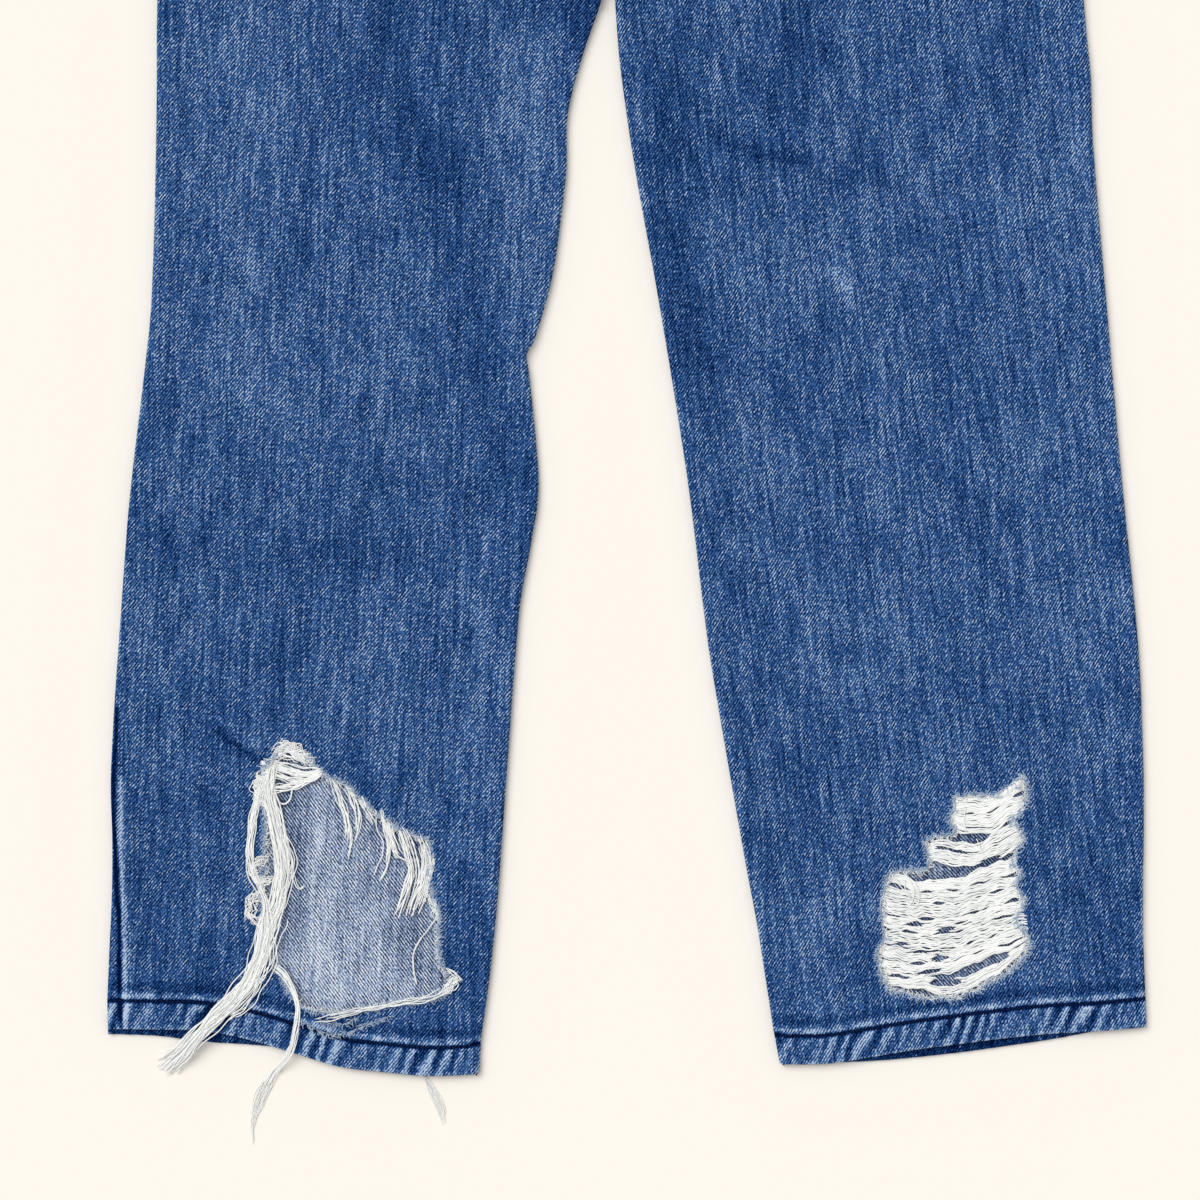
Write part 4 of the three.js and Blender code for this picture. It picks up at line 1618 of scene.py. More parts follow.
RIGHT_BACK_MARKS = (
    # On the inner face seen through the tear: painted shadow beside the thread bundle.
    Mark(((-196, 200), (-190, 150), (-188, 110), (-194, 80)), reach=8, wash=-0.75),
    Mark(((-177, 180), (-174, 130), (-172, 40)), reach=7, height=0.5, wash=0.3),
    # Painted shadow under the tear's right edge and its hanging fringe.
    Mark(((-128, 190), (-121, 120), (-116, 60)), reach=9, wash=-0.5),
    Mark(((-104, 170), (-100, 110), (-96, 60)), reach=6, wash=-0.6),
    Mark(((-152, 190), (-148, 110), (-142, 40)), reach=12, wash=0.05),
    # Painted shadow under the tear's upper edge and its fringe.
    Mark(((-175, 190), (-150, 182), (-120, 150), (-104, 130)), reach=11, wash=-0.5),
    Mark(((-176, 52), (-150, 56), (-122, 58)), reach=9, wash=0.25),
    Mark(((-60, 640), (-80, 560), (-70, 470)), reach=16, wash=-0.25),
    Mark(((-60, 400), (-150, 392), (-230, 398)), reach=12, wash=0.2),
    Mark(((-70, 420), (-150, 410), (-220, 418)), reach=9, wash=-0.2),
)
LEFT_BACK_MARKS = (
    # Painted shadow on the inner face beneath the worn patch's weft.
    Mark(((206, 60), (206, 110), (228, 160)), reach=46, wash=-0.93),
    Mark(((70, 640), (88, 560), (80, 470)), reach=16, wash=-0.25),
    Mark(((70, 400), (160, 392), (250, 398)), reach=12, wash=0.2),
    Mark(((80, 420), (160, 410), (240, 418)), reach=9, wash=-0.2),
)


@dataclass
class Panels:
    """The cut pieces of denim: fronts, backs, yokes, pocket facings and back pockets.

    Attributes:
        garment: The garment's own measure.
        stack: The heights of the lying layers.
        wardrobe: The finishes.
        right_grain: How far the right leg's warp leans outwards towards the foot, in degrees.
        left_grain: How far the left leg's does, in degrees.
        cloth: The cut pieces by their nodes.
        shells: The finished pieces by their nodes.
        COARSE: How far apart the corners of a plain piece lie.
    """

    garment: Garment
    stack: Stack
    wardrobe: Wardrobe
    right_grain: float = 2.0
    left_grain: float = 6.0
    COARSE = 0.006

    cloth: dict[str, ClothPiece] = field(init=False, default_factory=dict)
    shells: dict[str, Piece] = field(init=False, default_factory=dict)

    def add(self, node: str, face: Face, side: Side, **details: float | tuple) -> None:
        """Builds one piece.

        Args:
            node: The node it stands for.
            face: Which way its right side lies.
            side: Which half it belongs to.
            **details: Anything else the piece needs.
        """
        lean = self.right_grain if side is Side.RIGHT else self.left_grain
        grain = details.pop("grain", side.sign * lean)
        cloth = ClothPiece(node, face, self.garment, self.stack, grain=grain, **details)
        self.cloth[node] = cloth
        self.shells[node] = cloth.build(self.wardrobe)

    def build(self) -> None:
        """Builds every cut piece."""
        fronts = {Side.RIGHT: RIGHT_FRONT_MARKS, Side.LEFT: LEFT_FRONT_MARKS}
        wraps = {Side.RIGHT: (RIGHT_SEAM_WRAP, RIGHT_TEAR_CREASE), Side.LEFT: (LEFT_SEAM_WRAP,)}
        backs = {Side.RIGHT: RIGHT_BACK_MARKS, Side.LEFT: LEFT_BACK_MARKS}
        for side in Side:
            name, step = side.value, self.COARSE
            below = (f"back_{name}_cloth", "floor")
            self.add(
                f"front_{name}", Face.UP, side, marks=fronts[side], fine_lines=wraps[side], rests_on=below
            )
            self.add(f"back_{name}", Face.DOWN, side, marks=backs[side], step=step)
            self.add(f"pocket_facing_{name}", Face.UP, side, step=step, rests_on=below)
            self.add(f"yoke_{name}", Face.DOWN, side, step=step)
            self.add(f"back_pocket_{name}", Face.DOWN, side, step=step, base=0.0, grain=0.0)

    def on_cloth(self, node: str, line: Points, sink: float = 0.0) -> Points:
        """Lays a plan line on a piece's right side.

        Args:
            node: The piece's node.
            line: The line in plan, in the row frame.
            sink: How deep it is sunk, in metres.

        Returns:
            The line's places.
        """
        cloth = self.cloth[node]
        placed = cloth.surfaces(line[:, :2])[0]
        placed[:, 2] -= cloth.face.value * sink
        return placed

    def declare(self, extras: dict[str, list[Piece]]) -> None:
        """Hands every panel and its pieces to the panel's own declare, which does nothing.

        Args:
            extras: The pieces that go with each panel, by its node.
        """
        for node, cloth in self.cloth.items():
            cloth.declare(self.shells[node], extras.get(node, []))


def grid_shell(parts: MeshParts, outer: Points, inner: Points, uv: Points, wash: Points) -> None:
    """Adds a closed thin shell between two grids of places.

    Args:
        parts: Where it goes.
        outer: The right side's places, rows by columns, turning anticlockwise about its outward side.
        inner: The wrong side's places.
        uv: The cloth coordinates of both.
        wash: How pale each corner is.
    """
    rows, columns = outer.shape[:2]
    index = np.arange(rows * columns).reshape(rows, columns)
    a, b = index[:-1, :-1].ravel(), index[:-1, 1:].ravel()
    c, d = index[1:, 1:].ravel(), index[1:, :-1].ravel()
    faces = np.column_stack([a, b, c, d])
    shift = rows * columns
    around = np.concatenate([index[0, :-1], index[:-1, -1], index[-1, :0:-1], index[:0:-1, 0]])
    after = np.roll(around, -1)
    rim = np.column_stack([after, around, around + shift, after + shift])
    corners = np.vstack([outer.reshape(-1, 3), inner.reshape(-1, 3)])
    every = np.vstack([faces, faces[:, ::-1] + shift, rim])
    both = np.vstack([uv.reshape(-1, 2)] * 2)
    parts.add(corners, every, both, 0, np.concatenate([wash.ravel()] * 2))


@dataclass
class Waistband:
    """The doubled band round the waist, lapped at its front.

    Attributes:
        garment: The garment's own measure.
        stack: The heights of the lying layers.
        height: Its width from seam to top edge.
        cloth: Its thickness, all layers together.
        lap_over: How far its left end passes the middle.
        lap_under: How far its right end passes the middle beneath.
        lap_ramp: How long the climb onto the right end is.
        taper: How much narrower its top edge is.
        rows: How many rows of corners lie across it between its rounded edges.
        EDGES: The shares of its width where the rounded edges' rows lie.
        STITCHES: The shares of its width where its two rows of stitches run.
    """

    garment: Garment
    stack: Stack
    height: float = 0.038
    cloth: float = 0.0024
    lap_over: float = 0.010
    lap_under: float = 0.020
    lap_ramp: float = 0.020
    taper: float = 0.03
    rows: int = 25

    EDGES = (0.0, 0.006, 0.014, 0.986, 0.994, 1.0)
    STITCHES = (0.055, 0.945)

    def route(self) -> Points:
        """Leads the band round the waist.

        Returns:
            Rows of outer x and z, inner x and z, and 1 in front to 0 behind.
        """
        top, low = self.stack.waist_top, self.stack.seat_lift
        axis, radius = (top + low) / 2, (top - low) / 2
        inner = radius - self.cloth
        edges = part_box("waistband")
        right, left = edges[0].x + radius, edges[1].x - radius
        centre = self.garment.centre
        lap = self.cloth + self.stack.seam_gap
        over = centre + self.lap_under + self.lap_ramp * 1.4

        def front(x: Points, lift: Points | float = 0.0) -> Points:
            """Leads the band across the front.

            Args:
                x: The widths.
                lift: How far the band is lifted there.

            Returns:
                The path's rows.
            """
            z = top + lift + np.zeros_like(x)
            return np.column_stack([x, z, x, z - self.cloth, np.ones_like(x)])

        def fold(middle: float, side: int, angles: Points) -> Points:
            """Leads the band round one side of the body.

            Args:
                middle: The width of the turn's middle.
                side: -1 on the right and 1 on the left.
                angles: The turn's angles above level.

            Returns:
                The path's rows.
            """
            reach, climb = side * np.cos(angles), np.sin(angles)
            outside = [middle + reach * radius, axis + climb * radius]
            return np.column_stack([*outside, middle + reach * inner, axis + climb * inner, (climb + 1) / 2])

        across = np.linspace(right, left, 100)
        level = np.full(len(across), low)
        behind = np.column_stack([across, level, across, level + self.cloth, np.zeros(len(across))])
        down = np.linspace(math.pi / 2, -math.pi / 2, 12)[1:-1]
        ramp = np.linspace(over, centre - self.lap_over, 22)[1:]
        climb = lap * smoothstep(over - ramp, 0.0, self.lap_ramp)
        return np.vstack(
            [
                front(np.linspace(centre + self.lap_under, right, 54)),
                fold(right, -1, down),
                behind,
                fold(left, 1, down[::-1]),
                front(np.linspace(left, over, 46)),
                front(ramp, climb),
            ]
        )

    def rows_at(self, route: Points, share: float) -> tuple[Points, Points]:
        """The outer and inner places at one height of the band.

        Args:
            route: The band's path.
            share: From 0 at the seam to 1 at the top edge.

        Returns:
            The outer and the inner places.
        """
        front = self.garment.waist_line(route[:, 0], -Garment.FRONT_DIP)
        back = self.garment.waist_line(route[:, 0], Garment.BACK_RISE)
        y = back + (front - back) * route[:, 4] + self.stack.seam_gap / 2 + share * self.height
        pull = self.taper * share
        bulge = 0.00022 * math.sin(math.pi * min(max((share - 0.06) / 0.88, 0.0), 1.0)) ** 0.5 - 0.0002
        outer_x = route[:, 0] + (self.garment.centre - route[:, 0]) * pull
        inner_x = route[:, 2] + (self.garment.centre - route[:, 2]) * pull
        side = np.sign(route[:, 4] - 0.5)
        ends = math.sqrt(max(1.0 - max(1.0 - min(share, 1.0 - share) / 0.02, 0.0) ** 2, 0.0))
        squeeze = (route[:, 1] - route[:, 3]) * 0.3 * (1.0 - ends)
        outer = np.column_stack([outer_x, y, route[:, 1] + side * bulge - squeeze])
        inner = np.column_stack([inner_x, y, route[:, 3] + squeeze])
        return outer, inner

    def build(self, wardrobe: Wardrobe) -> Piece:
        """Makes the band.

        Args:
            wardrobe: The finishes.

        Returns:
            The finished band.
        """
        route = self.route()
        shares = np.unique(np.concatenate([self.EDGES, np.linspace(0.02, 0.98, self.rows)]))
        grids = [self.rows_at(route, share) for share in shares]
        outer = np.stack([grid[0] for grid in grids], axis=1)
        inner = np.stack([grid[1] for grid in grids], axis=1)
        run = run_along(route[:, :2])
        uv = np.stack(np.broadcast_arrays(shares[None] * self.height, run[:, None]), axis=2)
        ripple = np.sin(run[:, None] * 640 + shares[None] * 3)
        from_edge = np.minimum(shares, 1 - shares)[None]
        wash = fade(from_edge, 0.06) * (0.4 + 0.25 * ripple) - 0.5 * fade(from_edge - 0.05, 0.015)
        parts = MeshParts()
        grid_shell(parts, outer, inner, uv, wash)
        band = parts.build("waistband_cloth", [wardrobe.outside])
        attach(band, "root")
        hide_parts("waistband")
        report(band)
        return band

    def declare(self, band: Piece, extras: Sequence[Piece]) -> None:
        """Args:
            band: The finished band. Not used.
            extras: The pieces that go with it. Not used.
        """
        run = float(np.linalg.norm(np.diff(self.route()[:, :2], axis=0), axis=1).sum())

    def stitch_lines(self) -> list[Points]:
        """The topstitching along both edges of the band."""
        route = self.route()
        return [self.rows_at(route, share)[0] for share in self.STITCHES]


@dataclass
class BeltLoops:
    """Folded strips of denim over the waistband, stitched at both ends.

    Attributes:
        wardrobe: The finishes.
        cloth: A strip's thickness.
        arch: How high a front loop stands off the band in its middle.
        NODES: The loops' nodes.
        ACROSS: The shares of its width where a strip's corners lie, closer along its edges.
    """

    wardrobe: Wardrobe
    cloth: float = 0.0012
    arch: float = 0.001

    NODES = (
        "belt_loop_front_right",
        "belt_loop_front_left",
        "belt_loop_back_right",
        "belt_loop_back_left",
        "belt_loop_back_centre",
    )
    ACROSS = (0.0, 0.012, 0.045, 0.1, 0.2, 0.35, 0.5, 0.65, 0.8, 0.9, 0.955, 0.988, 1.0)

    def build(self) -> list[Piece]:
        """Makes every loop."""
        return [self.loop(node) for node in self.NODES]

    def loop(self, node: str) -> Piece:
        """Makes one loop.

        Args:
            node: The loop's node.

        Returns:
            The finished loop.
        """
        low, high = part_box(node)
        in_front = "front" in node
        shares, across = np.linspace(0.0, 1.0, 33), np.array(self.ACROSS)
        arch = self.arch * np.sin(np.pi * shares) ** 2 if in_front else np.zeros(len(shares))
        rest = low.z
        puff = 0.00035 * np.sin(np.pi * across)
        side = np.minimum(across, 1 - across)
        ends = np.sqrt(np.maximum(1.0 - np.maximum(1.0 - side / 0.05, 0.0) ** 2, 0.0))
        x = low.x + (high.x - low.x) * across
        y = low.y + (high.y - low.y) * shares
        middle = rest + arch[:, None] + self.cloth / 2
        half = (self.cloth / 2 - 0.0002) * (0.25 + 0.75 * ends)[None] + puff[None] * 0.5
        grid_x, grid_y = np.meshgrid(x, y)
        lower = np.stack([grid_x, grid_y, np.maximum(middle - half, rest)], axis=2)
        upper = np.stack([grid_x, grid_y, middle + half], axis=2)
        uv = np.stack([grid_x, grid_y], axis=2)
        rubbed_ends = 0.3 * fade(np.minimum(shares, 1 - shares), 0.03)
        wash = (0.35 * fade(side, 0.05) - 0.4 * fade(side - 0.14, 0.03))[None] + rubbed_ends[:, None]
        parts = MeshParts()
        grid_shell(parts, upper, lower, uv, wash)
        strip = parts.build(f"{node}_cloth", [self.wardrobe.outside])
        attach(strip, "root")
        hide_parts(node)
        report(strip)
        return strip


# Zip and button
# ---------------------------------------


@dataclass
class Zip:
    """The closed fly zip between the fronts: its tape and two meshing rows of teeth.

    Attributes:
        wardrobe: The finishes.
        pitch: How far apart the teeth of one row stand.
        tape: The tape's thickness.
        bare_end: How much tape has no teeth at each end.
        tooth: Half a tooth's width, length and height.
    """

    wardrobe: Wardrobe
    pitch: float = 0.0022
    tape: float = 0.0006
    bare_end: float = 0.005
    tooth: tuple[float, float, float] = (0.0019, 0.00042, 0.00045)

    def build(self) -> Piece:
        """Makes the tape and its teeth.

        Returns:
            The tape.
        """
        low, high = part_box("zip")
        x, y = np.meshgrid(np.linspace(low.x, high.x, 9), np.linspace(low.y, high.y, 40))
        z = np.full_like(x, low.z)
        over, under = np.stack([x, y, z + self.tape], axis=2), np.stack([x, y, z], axis=2)
        parts = MeshParts()
        grid_shell(parts, over, under, np.stack([x, y], axis=2), np.full_like(x, -0.4))
        tape = parts.build("zip_tape", [self.wardrobe.stitch])
        teeth = self.teeth(low, high)
        for piece, finish in ((tape, "denim"), (teeth, "zip_metal")):
            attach(piece, "root")
            report(piece)
        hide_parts("zip")
        return tape

    def teeth(self, low: Vector, high: Vector) -> Piece:
        """Makes both rows of teeth as one mesh.

        Args:
            low: The zip's lowest corner.
            high: Its highest corner.

        Returns:
            The teeth.
        """
        middle = (low.x + high.x) / 2
        parts = MeshParts()
        count = int((high.y - low.y - 2 * self.bare_end) / self.pitch)
        box = np.array([[x, y, z] for x in (-1, 1) for y in (-1, 1) for z in (-1, 1)], float)
        faces = np.array([[0, 1, 3, 2], [4, 6, 7, 5], [0, 4, 5, 1], [2, 3, 7, 6], [0, 2, 6, 4], [1, 5, 7, 3]])
        size = np.array(self.tooth)
        for side in (-1, 1):
            for k in range(count):
                y = low.y + self.bare_end + (k + 0.25 + 0.25 * side) * self.pitch
                centre = np.array([middle + side * 0.0011, y, low.z + self.tape - 0.0001 + size[2]])
                parts.add(centre + box * size, faces, np.zeros((8, 2)))
        return parts.build("zip_teeth", [self.wardrobe.zip_metal], smooth=False)


@dataclass
class Button:
    """The shank button's head: a rolled rim round a plain dished face.

    Attributes:
        wardrobe: The finishes.
        profile: The head's outline as shares of its radius and of its height, from under its rim.
        turns: How many faces it has round it.
    """

    wardrobe: Wardrobe
    profile: Route = (
        (0.0, 0.0), (0.5, 0.0), (0.8, 0.02), (0.93, 0.14), (0.99, 0.32), (1.0, 0.48), (0.985, 0.66),
        (0.94, 0.83), (0.88, 0.94), (0.82, 0.985), (0.76, 0.98), (0.71, 0.92), (0.67, 0.84), (0.62, 0.8),
        (0.5, 0.8), (0.46, 0.83), (0.42, 0.85), (0.36, 0.83), (0.32, 0.8), (0.16, 0.78), (0.0, 0.775),
    )
    turns: int = 64

    def build(self) -> Piece:
        """Makes the head.

        Returns:
            The finished head.
        """
        low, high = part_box("button")
        radius, height = (high.x - low.x) / 2, high.z - low.z
        angles = np.linspace(0, 2 * math.pi, self.turns, endpoint=False)
        rings = self.profile[1:-1]
        corners = [[0.0, 0.0, self.profile[0][1]]]
        corners += [[r * math.cos(a), r * math.sin(a), z] for r, z in rings for a in angles]
        corners.append([0.0, 0.0, self.profile[-1][1]])
        placed = np.array(corners) * [radius, radius, height]
        placed += [(low.x + high.x) / 2, (low.y + high.y) / 2, low.z]
        last = len(corners) - 1
        turns = self.turns
        steps = [(i, (i + 1) % turns) for i in range(turns)]
        starts = [1 + ring * turns for ring in range(len(rings))]
        quads = [
            [start + i, start + j, start + turns + j, start + turns + i]
            for start in starts[:-1]
            for i, j in steps
        ]
        bottom = [[0, 1 + j, 1 + i] for i, j in steps]
        top = [[last, starts[-1] + i, starts[-1] + j] for i, j in steps]
        mesh = bpy.data.meshes.new("button_head")
        mesh.from_pydata(placed.tolist(), [], quads + bottom + top)
        mesh.materials.append(self.wardrobe.button)
        mesh.polygons.foreach_set("use_smooth", np.full(len(mesh.polygons), True))
        head = in_scene("button_head", mesh)
        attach(head, "root")
        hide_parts("button")
        report(head)
        return head


# Stitching and fluff along lines
# ---------------------------------------


class AlongLines:
    """A node tree that sets small shapes at even steps along lines."""

    INPUTS = {
        "Lines": "Geometry",
        "Shape": "Object",
        "Spacing": "Float",
        "Least Turn": "Vector",
        "Most Turn": "Vector",
        "Least Size": "Vector",
        "Most Size": "Vector",
        "Seed": "Int",
        "Finish": "Material",
    }

    def __init__(self, name: str) -> None:
        """Builds the tree with its named inputs.

        Args:
            name: The tree's name.
        """
        self.tree = bpy.data.node_groups.new(name, "GeometryNodeTree")
        for socket, kind in self.INPUTS.items():
            self.tree.interface.new_socket(socket, in_out="INPUT", socket_type=f"NodeSocket{kind}")
        self.tree.interface.new_socket("Pieces", in_out="OUTPUT", socket_type="NodeSocketGeometry")
        self.join()

    def node(self, kind: str, **settings: str) -> bpy.types.Node:
        """Adds a node.

        Args:
            kind: The node's kind.
            **settings: Its settings.

        Returns:
            The new node.
        """
        node = self.tree.nodes.new(kind)
        for name, value in settings.items():
            setattr(node, name, value)
        return node

    def join(self) -> None:
        """Links the tree from its lines to the finished pieces."""
        link, given = self.tree.links.new, self.node("NodeGroupInput").outputs
        curve = self.node("GeometryNodeMeshToCurve")
        link(given["Lines"], curve.inputs["Mesh"])
        spaced = self.node("GeometryNodeResampleCurve", mode="LENGTH")
        link(curve.outputs["Curve"], spaced.inputs["Curve"])
        link(given["Spacing"], spaced.inputs["Length"])
        tangent = self.node("GeometryNodeInputTangent")
        along = self.node("FunctionNodeAlignRotationToVector", axis="X", pivot_axis="Z")
        link(tangent.outputs["Tangent"], along.inputs["Vector"])
        turn = self.random_vector(given, "Least Turn", "Most Turn", 0)
        euler = self.node("FunctionNodeEulerToRotation")
        link(turn, euler.inputs["Euler"])
        turned = self.node("FunctionNodeRotateRotation", rotation_space="LOCAL")
        link(along.outputs["Rotation"], turned.inputs["Rotation"])
        link(euler.outputs["Rotation"], turned.inputs["Rotate By"])
        shape = self.node("GeometryNodeObjectInfo")
        link(given["Shape"], shape.inputs["Object"])
        placed = self.node("GeometryNodeInstanceOnPoints")
        link(spaced.outputs["Curve"], placed.inputs["Points"])
        link(shape.outputs["Geometry"], placed.inputs["Instance"])
        link(turned.outputs["Rotation"], placed.inputs["Rotation"])
        link(self.random_vector(given, "Least Size", "Most Size", 1), placed.inputs["Scale"])
        realized = self.node("GeometryNodeRealizeInstances")
        link(placed.outputs["Instances"], realized.inputs["Geometry"])
        dressed = self.node("GeometryNodeSetMaterial")
        link(realized.outputs["Geometry"], dressed.inputs["Geometry"])
        link(given["Finish"], dressed.inputs["Material"])
        link(dressed.outputs["Geometry"], self.node("NodeGroupOutput").inputs["Pieces"])

    def random_vector(self, given: "bpy.types.NodeOutputs", least: str, most: str, step: int) -> Socket:
        """Draws a random value for each place.

        Args:
            given: The tree's inputs.
            least: The name of the input with the least value.
            most: The name of the input with the greatest.
            step: Moves the seed, so that two draws differ.

        Returns:
            The value.
        """
        seed = self.node("FunctionNodeIntegerMath", operation="ADD")
        self.tree.links.new(given["Seed"], seed.inputs[0])
        seed.inputs[1].default_value = step
        value = self.node("FunctionNodeRandomValue", data_type="FLOAT_VECTOR")
        self.tree.links.new(given[least], value.inputs["Min"])
        self.tree.links.new(given[most], value.inputs["Max"])
        self.tree.links.new(seed.outputs[0], value.inputs["Seed"])
        return value.outputs["Value"]

    def lay(
        self, name: str, lines: Sequence[Points], **values: float | tuple | Piece | Material
    ) -> bpy.types.Mesh:
        """Lays the shapes and hands back one plain mesh.

        Args:
            name: The mesh's name.
            lines: The lines' places.
            **values: The tree's inputs, with underscores for spaces.

        Returns:
            The finished mesh.
        """
        corners = np.vstack(lines)
        edges, start = [], 0
        for line in lines:
            edges += [(start + k, start + k + 1) for k in range(len(line) - 1)]
            start += len(line)
        guide = bpy.data.meshes.new(f"{name}_guide")
        guide.from_pydata(corners.tolist(), edges, [])
        holder = in_scene(f"{name}_guide", guide)
        modifier = holder.modifiers.new("along", "NODES")
        modifier.node_group = self.tree
        for item in self.tree.interface.items_tree:
            key = item.name.replace(" ", "_").lower()
            if key in values:
                modifier[item.identifier] = values[key]
        depsgraph = bpy.context.evaluated_depsgraph_get()
        mesh = bpy.data.meshes.new_from_object(holder.evaluated_get(depsgraph), depsgraph=depsgraph)
        mesh.name = name
        bpy.data.objects.remove(holder)
        bpy.data.meshes.remove(guide)
        return mesh


@dataclass(frozen=True)
class Tube:
    """A closed round tube.

    Attributes:
        corners: Its places.
        quads: The faces of its wall.
        caps: The face at each end.
        uv: Its cloth coordinates.
    """

    corners: Points
    quads: Points
    caps: Points
    uv: Points


def tube(path: Points, radius: Points | float, sides: int, flatten: float = 1.0) -> Tube:
    """A closed round tube along a path.

    Args:
        path: The places it runs through.
        radius: Its radius, one value or one for each place.
        sides: How many sides it has.
        flatten: Its height as a share of its width.

    Returns:
        The tube.
    """
    count = len(path)
    run = np.gradient(path, axis=0)
    run /= np.maximum(np.linalg.norm(run, axis=1), 1e-12)[:, None]
    side = np.cross(run, [0.0, 0.0, 1.0])
    size = np.linalg.norm(side, axis=1)
    side = np.where(size[:, None] > 0.2, side / np.maximum(size, 1e-12)[:, None], [[1.0, 0.0, 0.0]])
    rise = np.cross(side, run)
    angles = np.linspace(0, 2 * math.pi, sides, endpoint=False)
    reach = np.broadcast_to(np.asarray(radius, float), (count,))[:, None, None]
    cosine, sine = np.cos(angles)[None, :, None], np.sin(angles)[None, :, None]
    ring = side[:, None] * cosine + flatten * rise[:, None] * sine
    corners = (path[:, None] + reach * ring).reshape(-1, 3)
    index = np.arange(count * sides).reshape(count, sides)
    following = np.roll(index, -1, axis=1)
    quads = np.stack([index[:-1], index[1:], following[1:], following[:-1]], axis=2).reshape(-1, 4)
    caps = np.stack([index[0], index[-1, ::-1]])
    around = 2 * np.pi * np.mean(reach) * np.arange(sides) / sides
    uv = np.stack(np.broadcast_arrays(around[None], run_along(path)[:, None]), axis=2).reshape(-1, 2)
    return Tube(corners, quads, caps, uv)


def wander(rng: np.random.Generator, lengths: Points, reach: float, wave: float) -> Points:
    """A smooth random drift along a thread.

    Args:
        rng: The source of chance.
        lengths: How far along the thread each place is.
        reach: How far it drifts.
        wave: How long one drift is.

    Returns:
        The drift at each place.
    """
    phases = rng.uniform(0, 2 * math.pi, 3)
    rates = 2 * math.pi / (wave * rng.uniform([0.7, 1.3, 0.35], [1.1, 2.2, 0.5]))
    weights = np.array([0.6, 0.5, 0.22]) * reach
    return (weights[:, None] * np.sin(rates[:, None] * lengths[None] + phases[:, None])).sum(0)


@dataclass(frozen=True)
class Wisp:
    """Loose threads that run together along a line.

    Attributes:
        stops: The line's stops, each with its width and length on the garment, its height and the wisp's
            width there, in millimetres.
        count: How many threads run in it.
        radius: A thread's radius, in millimetres.
        depth: How far the threads pile up, in millimetres.
        drift: How far single threads wander, in millimetres.
        ragged: How unevenly the threads end, as a share of the line.
        wave: How long one drift is, in millimetres.
        seed: The seed of its chance.
        step: How far apart a thread's corners lie, in millimetres.
        SIDES: How many sides a thread has.
        LEAST: How many places the shortest thread runs through.
    """

    stops: Route
    count: int
    radius: float = 0.36
    depth: float = 1.6
    drift: float = 0.8
    ragged: float = 0.06
    wave: float = 30.0
    seed: int = 1
    step: float = 1.1

    SIDES = 5
    LEAST = 4

    def add_to(self, parts: MeshParts, garment: Garment, finish: int = 0) -> None:
        """Adds the wisp's threads to a mesh.

        Args:
            parts: Where they go.
            garment: The garment's own measure.
            finish: The threads' finish.
        """
        rng = np.random.default_rng(self.seed)
        stops = garment.place([(x, y, 0.0, 0.0) for x, y, *_ in self.stops])
        stops[:, 2] = [z * MM for _, _, z, _ in self.stops]
        stops[:, 3] = [width * MM for *_, width in self.stops]
        line = curve_through(stops, self.step * MM)
        lengths = run_along(line[:, :2])
        side = offset_line(line, 1.0) - line[:, :2]
        for _ in range(self.count):
            place = rng.uniform(-1, 1)
            spin = rng.uniform(0, 2 * math.pi) + lengths / rng.uniform(0.03, 0.08)
            across = 0.5 * line[:, 3] * np.clip(place * 0.75 + 0.3 * np.sin(spin), -1.05, 1.05)
            across = across + wander(rng, lengths, self.drift * MM, self.wave * MM)
            pile = self.depth * MM * (0.5 + 0.5 * np.cos(spin)) * rng.uniform(0.3, 1.0)
            lift = line[:, 2] + self.radius * MM + pile * (1 - 0.4 * abs(place))
            path = np.column_stack([line[:, :2] + side * across[:, None], lift])
            first = int(rng.uniform(0, self.ragged * 0.6) * len(path))
            last = len(path) - int(rng.uniform(0, self.ragged) * len(path))
            if last - first < self.LEAST:
                continue
            taper = np.minimum(1.0, 0.35 + from_ends(last - first) / 2.0)
            thread = tube(path[first:last], self.radius * MM * rng.uniform(0.75, 1.15) * taper, self.SIDES)
            parts.add_tube(thread, finish, rng.uniform(-0.15, 0.15))


